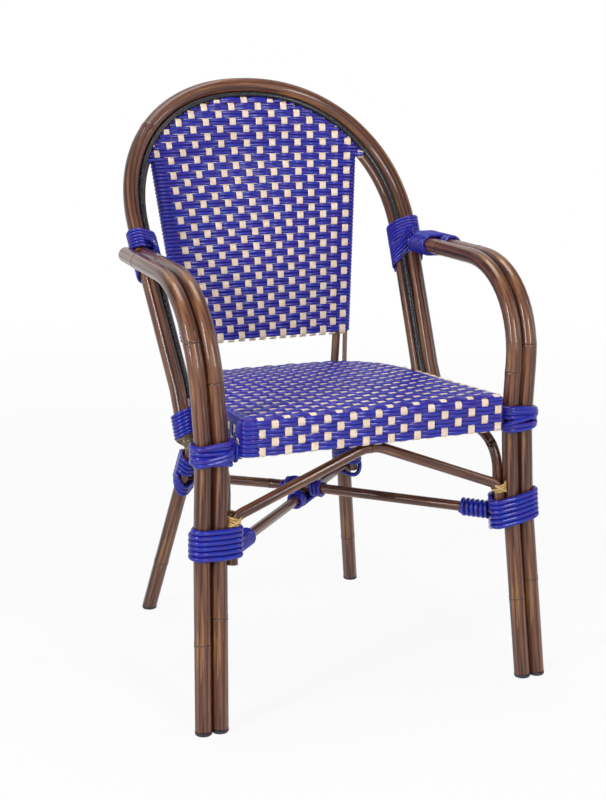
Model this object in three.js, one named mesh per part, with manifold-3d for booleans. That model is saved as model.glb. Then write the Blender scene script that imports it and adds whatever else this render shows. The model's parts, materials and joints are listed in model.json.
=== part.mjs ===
// A bistro armchair: bent metal tubes with a bamboo look, a woven seat and back panel,
// and blue strand bindings wound over every joint.
// Millimetres, +Z up, the sitter faces -Y, +X is the sitter's left side seen from the front.
// The pieces are drawn with y = 0 near the posts' feet; the last lines move the origin.
import * as THREE from 'three';
import Module from 'manifold-3d';
import { mergeVertices } from 'three/addons/utils/BufferGeometryUtils.js';

const wasm = await Module();
wasm.setup();

// Stock sizes and the clearance between neighbours
const TUBE_DIAMETER = 25;
const INNER_HOOP_DIAMETER = 20;
const BRACE_DIAMETER = 16;
const RING_DIAMETER = 16;
const UPRIGHT_DIAMETER = 14;
const ROD_DIAMETER = 8;
const STUB_DIAMETER = 12;
const STRUT_DIAMETER = 10;
const PIPING_DIAMETER = 8.4;
const STRAND_DIAMETER = 6.2;
const STRAND_PITCH = 7.7;
const THIN_STRAND_DIAMETER = 4.4;
const THIN_STRAND_PITCH = 5.2;
const FIT = 0.3;
const CUT_OVERRUN = 2;

// Front leg and arm pairs: the gap between the seat and the pair, how far the middle of the pair
// spreads from there at the foot, the knee and the arm, and its depths and heights
const SEAT_SIDE_GAP = 10.65;
const FOOT_SPREAD = 17.6;
const FOOT_Y = -258.7;
const KNEE_SPREAD = 5.3;
const KNEE_Y = -229;
const KNEE_Z = 275.5;
const SEAT_JOINT_Y = -226.1;
const SEAT_JOINT_Z = 410.3;
const ARM_SPREAD = 13.6;
const ARM_CORNER_Y = -221.9;
const ARM_CORNER_Z = 640.2;
const ARM_BEND_RADIUS = 148;
const ARM_BACK_Z = 645.9;
const ARM_TAIL = 14;

// Back hoop: two leaning posts, which stand against the seat, and a full arch between them
const POST_Y = -8.5;
const POST_REFERENCE_Z = 426.8;
const POST_END_Z = 378;
const POST_KINK_Z = 452;
const SPRING_SPREAD = 18.2;
const SPRING_Z = 671.2;
const ARCH_RISE = 229.6;
const POST_LEAN_SHARE = 0.57;
const ARCH_LEAN_SHARE = 0.69;
const ARCH_EXPONENT_SHARE = 2.2;
const ARCH_SWELL_SHARE = 0.078;
const INNER_HOOP_INWARD = 17.4;
const INNER_HOOP_BACK = 14.6;
const PIPING_INWARD = 16.9;

// Seat: a woven shell over two tube rings, open below. The rings bend wider than its corners.
const SEAT_HALF_WIDTH = 212;
const SEAT_FRONT_Y = -254;
const SEAT_REAR_DEPTH = 189;
const SEAT_TAPER = 9.1;
const SEAT_STRAIGHT_Y = -212;
const SEAT_TAPER_Y = -60;
const SEAT_CORNER_RADIUS = 14;
const RING_BEND_RADIUS = 20;
const SEAT_BOTTOM_Z = 400;
const SEAT_HEIGHT = 57;
const SEAT_CROWN = 5;
const SEAT_SLOPE_SHARE = -0.051;
const SEAT_REAR_EXPONENT_SHARE = 3;
const WEAVE_WALL = 4;
const STRUT_SHARES = [0.07, 0.22, 0.36, 0.55, 0.7, 0.85];

// Back panel: a woven sheet on two uprights and a rod at each side. The gaps run from its edge to
// the middle of the hoop's tube.
const PANEL_BOTTOM_Z = 482;
const PANEL_BOTTOM_GAP = 70;
const PANEL_SHOULDER_Z = 771;
const PANEL_SHOULDER_GAP = 57.2;
const PANEL_SHOULDER_RISE = 6;
const PANEL_EDGE_Y = 174.1;
const PANEL_EDGE_LEAN_SHARE = 0.157;
const PANEL_CENTRE_LEAN_SHARE = 0.17;
const PANEL_BOW_RADIUS = 1644;
const PANEL_BORDER_SHARE = 0.95;
const PANEL_THICKNESS = 3.5;
const PANEL_TOP_HALF_WIDTH = 14;
const PANEL_BACK_SET = 0.7;
const PANEL_CLEARANCE = 0.8;
const UPRIGHT_INSET = 19.4;
const ROD_INSET = 4.5;
const RAIL_RISE = 7;

// Rear legs, braces and stretchers
const REAR_FOOT_INSET = 17;
const REAR_FOOT_Y = 259;
const REAR_TOP_INSET = 86.5;
const BRACE_TAIL_Z = 241;
const FRONT_BRACE_BEND_Z = 318;
const FRONT_BRACE_BEND_RADIUS = 24;
const FRONT_BRACE_TOP_HALF_WIDTH = 12;
const FRONT_BRACE_TOP_RADIUS = 55;
const SIDE_BRACE_BEND_Z = 350;
const SIDE_BRACE_FRONT_Y = -182;
const SIDE_BRACE_REAR_Y = 128;
const SIDE_BRACE_BEND_RADIUS = 60;
const REAR_BRACE_OUT_SHARE = 0.5;
const REAR_BRACE_BEND_Z = 318;
const REAR_BRACE_TAIL_Z = 240;
const STRETCHER_FRONT_Z = 254;
const STRETCHER_REAR_Z = 240.6;
const BOWED_STRETCHER_FRONT_Z = 262;
const BOWED_STRETCHER_REAR_Z = 254;

// Foot glides and screws
const GLIDE_THICKNESS = 5;
const GLIDE_STEM_DIAMETER = 18;
const GLIDE_STEM_LENGTH = 12;
const GLIDE_CHAMFER = 1.5;
const SCREW_HEAD_DIAMETER = 9;
const SCREW_HEAD_HEIGHT = 2.6;
const SCREW_SHANK_DIAMETER = 5;
const SCREW_LENGTH = 9;
const SCREW_DOME_SHARES = [[1, 0], [0.85, 0.65], [0.45, 1], [0, 1]];

// Bindings: strands, loops and places
const STRAND_GAP = 1.2;
const STRAND_SLACK = 0.8;
const LOW_BINDING_Z = 272;
const LOW_BINDING_LOOPS = 6;
const SEAT_BINDING_Z = 409;
const SEAT_BINDING_LOOPS = 4;
const SEAT_STRAND_PITCH = 8.9;
const ARM_BINDING_LOOPS = 8;
const ARM_STRAND_PITCH = 8.6;
const POST_BINDING_Z = 402;
const POST_BINDING_LOOPS = 5;
const REAR_BINDING_Z = 266;
const REAR_BINDING_LOOPS = 6;
const REAR_STRAND_PITCH = 9;
const SPIRAL_START = 21;
const SPIRAL_LOOPS = 6;
const CROSS_BINDING_LOOPS = 4;

// Where the strands start round each joint, and how much of a turn the parted loops hold
const DEGREE = Math.PI / 180;
const LOW_START_ANGLE = 45 * DEGREE;
const SEAT_START_ANGLE = 165 * DEGREE;
const SEAT_ENTRY_ANGLE = -140 * DEGREE;
const ARM_START_ANGLE = 135 * DEGREE;
const ARM_ENTRY_ANGLE = -50 * DEGREE;
const POST_START_ANGLE = 162 * DEGREE;
const REAR_START_ANGLE = 75 * DEGREE;
const NARROW_HOLD_SHARE = 0.1;
const SEAT_HOLD_SHARE = 0.14;
const ARM_HOLD_SHARE = 0.167;

// Facets
const TUBE_SIDES = 10;
const THIN_SIDES = 8;
const STRAND_SIDES = 5;
const LOOP_STEPS = 12;
const THIN_LOOP_STEPS = 10;
const SIDE_BRACE_STEPS = 3;
const BEND_STEPS = 5;
const ARCH_STEPS = 26;
const ROUND_STEPS = 3;

const TUBE_R = TUBE_DIAMETER / 2;
const INNER_HOOP_R = INNER_HOOP_DIAMETER / 2;
const BRACE_R = BRACE_DIAMETER / 2;
const RING_R = RING_DIAMETER / 2;
const UPRIGHT_R = UPRIGHT_DIAMETER / 2;
const ROD_R = ROD_DIAMETER / 2;
const STUB_R = STUB_DIAMETER / 2;
const STRUT_R = STRUT_DIAMETER / 2;
const PIPING_R = PIPING_DIAMETER / 2;
const STRAND_R = STRAND_DIAMETER / 2;
const THIN_STRAND_R = THIN_STRAND_DIAMETER / 2;
const PAIR_SPACING = TUBE_DIAMETER + FIT;
const SIDES = [['left', -1], ['right', 1]];

const chair = new THREE.Group();

const FINISHES = {
  bamboo: { color: 0x6e4130, roughness: 0.35, metalness: 0.1 },
  strand: { color: 0x2a22a0, roughness: 0.35, metalness: 0 },
  weave: { color: 0x5a55b8, roughness: 0.5, metalness: 0 },
  piping: { color: 0x15161a, roughness: 0.25, metalness: 0 },
  glide: { color: 0x26282b, roughness: 0.6, metalness: 0 },
  steel: { color: 0x8d8f92, roughness: 0.35, metalness: 1 },
};

function addPiece(name, geometry, finish) {
  const mesh = new THREE.Mesh(geometry, new THREE.MeshStandardMaterial(FINISHES[finish]));
  mesh.name = name;
  chair.add(mesh);
  return mesh;
}

// Solids and booleans

function toSolid(geometry) {
  const bare = geometry.clone();
  bare.deleteAttribute('normal');
  bare.deleteAttribute('uv');
  const merged = mergeVertices(bare);
  const vertProperties = new Float32Array(merged.attributes.position.array);
  const triVerts = new Uint32Array(merged.index.array);
  return new wasm.Manifold(new wasm.Mesh({ numProp: 3, vertProperties, triVerts }));
}

function toGeometry(solid) {
  const mesh = solid.getMesh();
  const geometry = new THREE.BufferGeometry();
  geometry.setAttribute('position', new THREE.BufferAttribute(new Float32Array(mesh.vertProperties), 3));
  geometry.setIndex(new THREE.BufferAttribute(new Uint32Array(mesh.triVerts), 1));
  return geometry;
}

function cut(geometry, ...tools) {
  let solid = toSolid(geometry);
  for (const tool of tools) {
    solid = solid.subtract(toSolid(tool));
  }
  return toGeometry(solid);
}

function join(first, ...others) {
  let solid = toSolid(first);
  for (const other of others) {
    solid = solid.add(toSolid(other));
  }
  return toGeometry(solid);
}

// A line through chosen stations, so that a tube gets its rings only where it bends
class StationLine extends THREE.Curve {
  constructor(points, startDirection, endDirection) {
    super();
    this.points = points;
    this.startDirection = startDirection;
    this.endDirection = endDirection;
  }

  getPoint(t, target = new THREE.Vector3()) {
    const place = t * (this.points.length - 1);
    const index = Math.min(Math.floor(place), this.points.length - 2);
    return target.lerpVectors(this.points[index], this.points[index + 1], place - index);
  }

  getPointAt(t, target) {
    return this.getPoint(t, target);
  }

  getTangentAt(t, target = new THREE.Vector3()) {
    const last = this.points.length - 1;
    const index = Math.round(t * last);
    if (index === 0 && this.startDirection) {
      return target.copy(this.startDirection);
    }
    if (index === last && this.endDirection) {
      return target.copy(this.endDirection);
    }
    const before = this.points[Math.max(index - 1, 0)];
    const here = this.points[index];
    const after = this.points[Math.min(index + 1, last)];
    const arriving = here.clone().sub(before).normalize();
    const leaving = after.clone().sub(here).normalize();
    return target.addVectors(arriving, leaving).normalize();
  }
}

function polygonShape(radius, sides) {
  const corners = [];
  for (let i = 0; i < sides; i++) {
    const angle = (2 * Math.PI * i) / sides;
    corners.push(new THREE.Vector2(radius * Math.cos(angle), radius * Math.sin(angle)));
  }
  return new THREE.Shape(corners);
}

function tube(points, radius, sides, startDirection, endDirection) {
  const extrudePath = new StationLine(points, startDirection, endDirection);
  const steps = points.length - 1;
  return new THREE.ExtrudeGeometry(polygonShape(radius, sides), { steps, bevelEnabled: false, extrudePath });
}

// Straight runs with true arcs between them, as a tube bender leaves them
function bentPoints(corners, radii, arcSteps = BEND_STEPS) {
  const points = [corners[0].clone()];
  for (let i = 1; i < corners.length - 1; i++) {
    const corner = corners[i];
    const back = corners[i - 1].clone().sub(corner).normalize();
    const ahead = corners[i + 1].clone().sub(corner).normalize();
    const opening = back.angleTo(ahead);
    const reach = radii[i - 1] / Math.tan(opening / 2);
    if (radii[i - 1] === 0) {
      points.push(corner.clone());
      continue;
    }
    const centre = back.clone().add(ahead).normalize();
    centre.multiplyScalar(radii[i - 1] / Math.sin(opening / 2)).add(corner);
    const from = corner.clone().addScaledVector(back, reach).sub(centre);
    const to = corner.clone().addScaledVector(ahead, reach).sub(centre);
    const sweep = Math.PI - opening;
    for (let k = 0; k <= arcSteps; k++) {
      const share = k / arcSteps;
      const first = Math.sin((1 - share) * sweep) / Math.sin(sweep);
      const second = Math.sin(share * sweep) / Math.sin(sweep);
      const spoke = from.clone().multiplyScalar(first).addScaledVector(to, second);
      points.push(spoke.add(centre));
    }
  }
  points.push(corners[corners.length - 1].clone());
  return points;
}

const point = (x, y, z) => new THREE.Vector3(x, y, z);
const mirrored = (points, side) => points.map((p) => point(p.x * side, p.y, p.z));

// A closed skin over a grid of rings; the first and last ring may close to a point
function skin(rings, closedAcross) {
  const positions = [];
  const count = rings[0].length;
  const put = (a, b, c) => {
    for (const p of [a, b, c]) {
      positions.push(p.x, p.y, p.z);
    }
  };
  const last = closedAcross ? rings.length : rings.length - 1;
  for (let i = 0; i < last; i++) {
    const lower = rings[i];
    const upper = rings[(i + 1) % rings.length];
    for (let j = 0; j < count; j++) {
      const k = (j + 1) % count;
      if (!lower[j].equals(lower[k])) {
        put(lower[j], lower[k], upper[k]);
      }
      if (!upper[j].equals(upper[k])) {
        put(lower[j], upper[k], upper[j]);
      }
    }
  }
  const geometry = new THREE.BufferGeometry();
  geometry.setAttribute('position', new THREE.Float32BufferAttribute(positions, 3));
  return geometry;
}

// A ring tube that closes on itself, round the upward direction
function ringTube(points, radius, sides) {
  const up = point(0, 0, 1);
  const rings = points.map((centre, i) => {
    const before = points[(i + points.length - 1) % points.length];
    const after = points[(i + 1) % points.length];
    const along = after.clone().sub(before).normalize();
    const across = along.clone().cross(up).normalize();
    const rise = across.clone().cross(along);
    const ring = [];
    for (let k = 0; k < sides; k++) {
      const angle = (2 * Math.PI * (k + 0.5)) / sides;
      const corner = centre.clone().addScaledVector(across, radius * Math.cos(angle));
      ring.push(corner.addScaledVector(rise, radius * Math.sin(angle)));
    }
    return ring;
  });
  return skin(rings.reverse(), true);
}

// Front leg and arm pairs

const seatJointX = SEAT_HALF_WIDTH + SEAT_SIDE_GAP + TUBE_R + PAIR_SPACING / 2;
const legPairCorners = [
  point(seatJointX + FOOT_SPREAD, FOOT_Y, GLIDE_THICKNESS + FIT),
  point(seatJointX + KNEE_SPREAD, KNEE_Y, KNEE_Z),
  point(seatJointX, SEAT_JOINT_Y, SEAT_JOINT_Z),
  point(seatJointX + ARM_SPREAD, ARM_CORNER_Y, ARM_CORNER_Z),
];

// The middle of the pair at a height up to the bend of the arm
function legPairAt(z) {
  let index = 0;
  while (index < legPairCorners.length - 2 && z > legPairCorners[index + 1].z) {
    index += 1;
  }
  const low = legPairCorners[index];
  const high = legPairCorners[index + 1];
  return low.clone().lerp(high, (z - low.z) / (high.z - low.z));
}

const outerLegAt = (z) => legPairAt(z).add(point(PAIR_SPACING / 2, 0, 0));
const innerLegAt = (z) => legPairAt(z).add(point(-PAIR_SPACING / 2, 0, 0));

// Back hoop: its centre line at a height on a post, or at an angle round the arch

const seatRearHalfWidth = SEAT_HALF_WIDTH - SEAT_TAPER;
const postX = seatRearHalfWidth + 2 * FIT + THIN_STRAND_DIAMETER + TUBE_R;
const springX = postX + SPRING_SPREAD;
const postSpreadShare = SPRING_SPREAD / (SPRING_Z - POST_KINK_Z);

function hoopY(z) {
  const onPost = Math.min(z, SPRING_Z) - POST_REFERENCE_Z;
  const onArch = Math.max(z - SPRING_Z, 0);
  return POST_Y + POST_LEAN_SHARE * onPost + ARCH_LEAN_SHARE * onArch;
}

function postAt(z) {
  const x = postX + postSpreadShare * Math.max(z - POST_KINK_Z, 0);
  return point(x, hoopY(z), z);
}

function archAt(angle) {
  const power = 2 / ARCH_EXPONENT_SHARE;
  const rise = ARCH_RISE * Math.pow(Math.abs(Math.sin(angle)), power);
  const swell = ARCH_SWELL_SHARE * rise * (1 - rise / ARCH_RISE);
  const halfWidth = springX * Math.pow(Math.abs(Math.cos(angle)), power) + swell;
  const x = halfWidth * Math.sign(Math.cos(angle));
  return point(x, hoopY(SPRING_Z + rise), SPRING_Z + rise);
}

const leanAngle = Math.atan((POST_LEAN_SHARE + ARCH_LEAN_SHARE) / 2);
const backward = point(0, Math.cos(leanAngle), -Math.sin(leanAngle));

// Points beside the hoop's centre line, moved inwards and backwards across the tube
function hoopPoints(lowZ, inwards, backwards) {
  const centres = [postAt(lowZ)];
  for (const z of [POST_KINK_Z, (POST_KINK_Z + SPRING_Z) / 2]) {
    if (z > lowZ) {
      centres.push(postAt(z));
    }
  }
  for (let i = 0; i <= ARCH_STEPS / 2; i++) {
    const share = i / (ARCH_STEPS / 2);
    centres.push(archAt((Math.PI / 2) * share));
  }
  const right = centres.map((centre, i) => {
    const before = centres[Math.max(i - 1, 0)];
    const after = i === centres.length - 1
      ? point(-centres[i - 1].x, centres[i - 1].y, centres[i - 1].z)
      : centres[i + 1];
    const along = after.clone().sub(before).normalize();
    const inward = along.clone().cross(backward).normalize();
    return centre.clone().addScaledVector(inward, inwards).addScaledVector(backward, backwards);
  });
  const left = right.slice(0, -1).reverse();
  return [...right, ...mirrored(left, -1)];
}

const outerHoopLine = hoopPoints(POST_END_Z, 0, 0);
const outerHoop = tube(outerHoopLine, TUBE_R, TUBE_SIDES);
addPiece('outer_back_hoop', outerHoop, 'bamboo');

// Seat: its outline in plan, and a lift that gives it its slope

function seatOutline(cornerRadius) {
  const outline = [];
  const cornerY = SEAT_FRONT_Y + cornerRadius;
  const cornerX = SEAT_HALF_WIDTH - cornerRadius;
  const frontSteps = 5;
  for (let i = 0; i < frontSteps; i++) {
    outline.push(new THREE.Vector2(cornerX * ((2 * i) / frontSteps - 1), SEAT_FRONT_Y));
  }
  const cornerSteps = 4;
  for (let i = 0; i <= cornerSteps; i++) {
    const angle = (Math.PI / 2) * (i / cornerSteps - 1);
    const x = cornerX + cornerRadius * Math.cos(angle);
    outline.push(new THREE.Vector2(x, cornerY + cornerRadius * Math.sin(angle)));
  }
  outline.push(new THREE.Vector2(SEAT_HALF_WIDTH, SEAT_STRAIGHT_Y));
  outline.push(new THREE.Vector2(seatRearHalfWidth, SEAT_TAPER_Y));
  const rearSteps = 14;
  const power = 2 / SEAT_REAR_EXPONENT_SHARE;
  for (let i = 0; i <= rearSteps; i++) {
    const angle = (Math.PI * i) / rearSteps;
    const x = seatRearHalfWidth * Math.pow(Math.abs(Math.cos(angle)), power) * Math.sign(Math.cos(angle));
    outline.push(new THREE.Vector2(x, SEAT_REAR_DEPTH * Math.pow(Math.abs(Math.sin(angle)), power)));
  }
  outline.push(new THREE.Vector2(-seatRearHalfWidth, SEAT_TAPER_Y));
  outline.push(new THREE.Vector2(-SEAT_HALF_WIDTH, SEAT_STRAIGHT_Y));
  for (let i = cornerSteps; i > 0; i--) {
    const angle = (Math.PI / 2) * (i / cornerSteps - 1);
    const x = cornerX + cornerRadius * Math.cos(angle);
    outline.push(new THREE.Vector2(-x, cornerY + cornerRadius * Math.sin(angle)));
  }
  return outline;
}

// The outline moved inwards by the same distance all round
function insetOutline(outline, distance) {
  return outline.map((here, i) => {
    const before = outline[(i + outline.length - 1) % outline.length];
    const after = outline[(i + 1) % outline.length];
    const first = here.clone().sub(before).normalize();
    const second = after.clone().sub(here).normalize();
    const firstNormal = new THREE.Vector2(-first.y, first.x);
    const secondNormal = new THREE.Vector2(-second.y, second.x);
    const mitre = firstNormal.clone().add(secondNormal).normalize();
    return here.clone().addScaledVector(mitre, distance / mitre.dot(firstNormal));
  });
}

const seatLift = (y, height) => SEAT_BOTTOM_Z + height + SEAT_SLOPE_SHARE * (y - SEAT_FRONT_Y);
const seatPoint = (flat, height) => point(flat.x, flat.y, seatLift(flat.y, height));

const outline = seatOutline(SEAT_CORNER_RADIUS);
const seatMiddle = new THREE.Vector2(0, (SEAT_FRONT_Y + SEAT_REAR_DEPTH) / 2);
const ringInset = WEAVE_WALL + FIT + RING_R;
const upperRingHeight = SEAT_HEIGHT - ringInset;
const lowerRingHeight = RING_R;
const ringOutline = insetOutline(seatOutline(RING_BEND_RADIUS + ringInset), ringInset);
const roundRelief = 1 / Math.cos(Math.PI / (4 * ROUND_STEPS));

function seatRing(height, radius) {
  return ringTube(ringOutline.map((flat) => seatPoint(flat, height)), radius, THIN_SIDES);
}

addPiece('seat_upper_ring', seatRing(upperRingHeight, RING_R), 'bamboo');
addPiece('seat_lower_ring', seatRing(lowerRingHeight, RING_R), 'bamboo');
const thinRelief = 1 / Math.cos(Math.PI / THIN_SIDES);
const lowerRingCutter = seatRing(lowerRingHeight, (RING_R + FIT) * thinRelief);

// The woven shell: crowned top, rounded edge, straight wall, open below
function seatWeave() {
  const rings = [];
  const crownShares = [0, 0.45, 0.8];
  const crownRing = (share, height) => {
    const rim = insetOutline(outline, ringInset);
    const lift = SEAT_CROWN * (1 - share * share);
    return rim.map((flat) => {
      const place = seatMiddle.clone().lerp(flat, share);
      return seatPoint(place, height + lift);
    });
  };
  const wallRing = (inset, height) => insetOutline(outline, inset).map((flat) => seatPoint(flat, height));
  for (const share of crownShares) {
    rings.push(crownRing(share, SEAT_HEIGHT));
  }
  for (let i = 0; i <= ROUND_STEPS; i++) {
    const angle = (Math.PI / 2) * (i / ROUND_STEPS);
    const inset = ringInset * (1 - Math.sin(angle));
    rings.push(wallRing(inset, SEAT_HEIGHT - ringInset * (1 - Math.cos(angle))));
  }
  rings.push(wallRing(0, 0));
  rings.push(wallRing(WEAVE_WALL, 0));
  const innerRound = (ringInset - WEAVE_WALL) * roundRelief;
  for (let i = ROUND_STEPS; i >= 0; i--) {
    const angle = (Math.PI / 2) * (i / ROUND_STEPS);
    const inset = ringInset - innerRound * Math.sin(angle);
    rings.push(wallRing(inset, SEAT_HEIGHT - ringInset + innerRound * Math.cos(angle)));
  }
  const underside = SEAT_HEIGHT - ringInset + innerRound;
  for (const share of crownShares.toReversed()) {
    rings.push(crownRing(share, underside));
  }
  return skin(rings.reverse(), false);
}

// The stub tubes join the lower ring to the inner front tubes
const stubZ = seatLift(SEAT_JOINT_Y, lowerRingHeight);
const stubPlace = legPairAt(stubZ);
const stubOuterX = stubPlace.x - PAIR_SPACING / 2 - TUBE_R - FIT;

function ringHalfWidthAt(y) {
  const right = ringOutline.filter((flat) => flat.x > 0).sort((a, b) => a.y - b.y);
  const index = right.findIndex((flat) => flat.y > y);
  const low = right[index - 1];
  const high = right[index];
  return low.x + ((high.x - low.x) * (y - low.y)) / (high.y - low.y);
}

const stubInnerX = ringHalfWidthAt(stubPlace.y);
const stubCutters = [];
for (const [name, side] of SIDES) {
  const ends = [point(stubInnerX * side, stubPlace.y, stubZ), point(stubOuterX * side, stubPlace.y, stubZ)];
  addPiece(`seat_stub_${name}`, cut(tube(ends, STUB_R, THIN_SIDES), lowerRingCutter), 'bamboo');
  stubCutters.push(tube(ends, STUB_R + FIT, THIN_SIDES));
}

// Back panel uprights stand on the rear of the upper ring, and the weave is notched round them

const panelEdgeY = (z) => PANEL_EDGE_Y + PANEL_EDGE_LEAN_SHARE * (z - PANEL_BOTTOM_Z);

const panelBottomHalfWidth = postX - PANEL_BOTTOM_GAP;
const panelShoulderHalfWidth = springX - PANEL_SHOULDER_GAP;
const panelSpreadShare = (panelShoulderHalfWidth - panelBottomHalfWidth)
  / (PANEL_SHOULDER_Z - PANEL_BOTTOM_Z);
const panelHalfWidth = (z) => panelBottomHalfWidth + panelSpreadShare * (z - PANEL_BOTTOM_Z);

// The panel's front face in a row: hollow across its width, with the hollow dying out at the top
// of the arch. Where a row is wider than the uprights, its ends run forward to the hoop.
function panelDepth({ z, halfWidth, edgeY }, x) {
  const rise = z - PANEL_BOTTOM_Z;
  const centreY = PANEL_EDGE_Y + PANEL_CENTRE_LEAN_SHARE * rise + (rise * rise) / (2 * PANEL_BOW_RADIUS);
  const climb = Math.max(z - PANEL_SHOULDER_Z, 0) / (SPRING_Z + ARCH_RISE - TUBE_DIAMETER - PANEL_SHOULDER_Z);
  const plainHalf = Math.min(halfWidth, panelHalfWidth(z));
  const plainY = halfWidth > plainHalf ? panelEdgeY(z) : edgeY;
  const past = Math.abs(x) - plainHalf;
  if (past > 0 && halfWidth > plainHalf) {
    return plainY + ((edgeY - plainY) * past) / (halfWidth - plainHalf);
  }
  const hollow = Math.max(centreY - plainY, 0) * Math.max(1 - climb * climb, 0);
  return plainY + hollow * Math.max(1 - (x / plainHalf) ** 2, 0);
}

// Rows of the panel from its lower edge to the top of the arch: height, half width, edge depth
function panelRows() {
  const rows = [];
  const sideSteps = 6;
  for (let i = 0; i <= sideSteps; i++) {
    const z = PANEL_BOTTOM_Z + ((PANEL_SHOULDER_Z - PANEL_BOTTOM_Z) * i) / sideSteps;
    rows.push({ z, halfWidth: panelHalfWidth(z), edgeY: panelEdgeY(z) });
  }
  const inset = PIPING_INWARD + PIPING_R + FIT;
  const arch = hoopPoints(POST_KINK_Z, inset, PANEL_BACK_SET);
  const half = arch.slice(0, (arch.length + 1) / 2);
  for (const place of half) {
    if (place.z > PANEL_SHOULDER_Z + PANEL_SHOULDER_RISE && place.x > PANEL_TOP_HALF_WIDTH) {
      rows.push({ z: place.z, halfWidth: place.x, edgeY: place.y });
    }
  }
  const beforeTop = half[half.length - 2];
  const top = beforeTop.clone().lerp(half[half.length - 1], 1 - PANEL_TOP_HALF_WIDTH / beforeTop.x);
  rows.push({ z: top.z, halfWidth: top.x, edgeY: top.y });
  return rows;
}

const rows = panelRows();

function panelFrontY(x, z) {
  const index = Math.min(Math.max(rows.findIndex((row) => row.z > z), 1), rows.length - 1);
  const low = rows[index - 1];
  const high = rows[index];
  const share = (z - low.z) / (high.z - low.z);
  return THREE.MathUtils.lerp(panelDepth(low, x), panelDepth(high, x), share);
}

// Evenly spread points across half a row, with one where its ends begin to run forward
function panelColumns({ z, halfWidth }) {
  const last = Math.min(panelHalfWidth(z) / halfWidth, PANEL_BORDER_SHARE);
  const shares = [0, 1 / 4, 1 / 2, 3 / 4, last, 1];
  const right = shares.map((share) => share * halfWidth);
  return [...right.slice(1).reverse().map((x) => -x), ...right];
}

function backWeave() {
  const loops = rows.map((row) => {
    const front = panelColumns(row).map((x) => point(x, panelDepth(row, x), row.z));
    const back = front.map((place) => place.clone().add(point(0, PANEL_THICKNESS, 0)));
    return [...front, ...back.reverse()];
  });
  return closeLoops(loops);
}

// Closes a stack of loops, each a front line and a back line, with a strip at each end
function closeLoops(loops) {
  const sides = skin(loops, false);
  const positions = Array.from(sides.attributes.position.array);
  const strip = (loop, turned) => {
    const half = loop.length / 2;
    for (let i = 0; i < half - 1; i++) {
      const corners = [loop[i], loop[i + 1], loop[loop.length - 2 - i], loop[loop.length - 1 - i]];
      const order = turned ? [0, 2, 1, 0, 3, 2] : [0, 1, 2, 0, 2, 3];
      for (const k of order) {
        positions.push(corners[k].x, corners[k].y, corners[k].z);
      }
    }
  };
  strip(loops[0], true);
  strip(loops[loops.length - 1], false);
  const geometry = new THREE.BufferGeometry();
  geometry.setAttribute('position', new THREE.Float32BufferAttribute(positions, 3));
  return geometry;
}

// Inner hoop and the black piping in the groove between the hoops
const seatTopAtPost = seatLift(hoopY(POST_KINK_Z), SEAT_HEIGHT + SEAT_CROWN) + FIT;
const innerHoopLine = hoopPoints(seatTopAtPost + INNER_HOOP_R, INNER_HOOP_INWARD, INNER_HOOP_BACK);
const innerHoop = tube(innerHoopLine, INNER_HOOP_R, TUBE_SIDES);
addPiece('inner_back_hoop', innerHoop, 'bamboo');
const pipingLine = hoopPoints(seatTopAtPost + TUBE_R, PIPING_INWARD, 0);
addPiece('hoop_piping', tube(pipingLine, PIPING_R, THIN_SIDES), 'piping');

// The woven panel is grooved for the inner hoop; uprights, rods and a bottom rail stand behind it
const facetRelief = 1 / Math.cos(Math.PI / TUBE_SIDES);
const innerHoopCutter = tube(innerHoopLine, (INNER_HOOP_R + FIT) * facetRelief, TUBE_SIDES);
addPiece('back_weave', cut(backWeave(), innerHoopCutter), 'weave');

// Where the inner hoop passes a given half width, on its upper half
function innerHoopAt(x) {
  const index = innerHoopLine.findIndex((place, i) => i > 0 && place.z > SPRING_Z && place.x < x);
  const low = innerHoopLine[index - 1];
  const high = innerHoopLine[index];
  return low.clone().lerp(high, (x - low.x) / (high.x - low.x));
}

function ringSeatFor(x, radius) {
  const rear = ringOutline.filter((flat) => flat.y > 0 && flat.x > 0).sort((a, b) => a.x - b.x);
  const index = rear.findIndex((flat) => flat.x > x);
  const low = rear[index - 1];
  const high = rear[index];
  const along = high.clone().sub(low).normalize();
  const outward = new THREE.Vector2(-along.y, along.x);
  const place = low.clone().addScaledVector(along, (x - low.x) / along.x);
  return place.addScaledVector(outward, RING_R + FIT + radius);
}

function panelPostLine(inset, radius) {
  const depth = PANEL_THICKNESS + PANEL_CLEARANCE + radius;
  const footX = panelHalfWidth(PANEL_BOTTOM_Z) - inset - panelSpreadShare * (PANEL_BOTTOM_Z - SEAT_BOTTOM_Z);
  const foot = ringSeatFor(footX, radius);
  const line = [seatPoint(foot, upperRingHeight - RING_R)];
  const sideSteps = 4;
  for (let i = 0; i < sideSteps; i++) {
    const z = PANEL_BOTTOM_Z + ((PANEL_SHOULDER_Z - PANEL_BOTTOM_Z) * i) / sideSteps;
    const x = panelHalfWidth(z) - inset;
    line.push(point(x, panelFrontY(x, z) + depth, z));
  }
  const bendX = panelHalfWidth(PANEL_SHOULDER_Z) - inset;
  const top = innerHoopAt(bendX + ROD_DIAMETER);
  const middle = point(bendX, 0, PANEL_SHOULDER_Z).lerp(top, 0.5);
  line.push(point(bendX, panelFrontY(bendX, PANEL_SHOULDER_Z) + depth, PANEL_SHOULDER_Z));
  line.push(middle.setY(panelFrontY(middle.x, middle.z) + depth / Math.cos(leanAngle)));
  line.push(top);
  return line;
}

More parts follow.
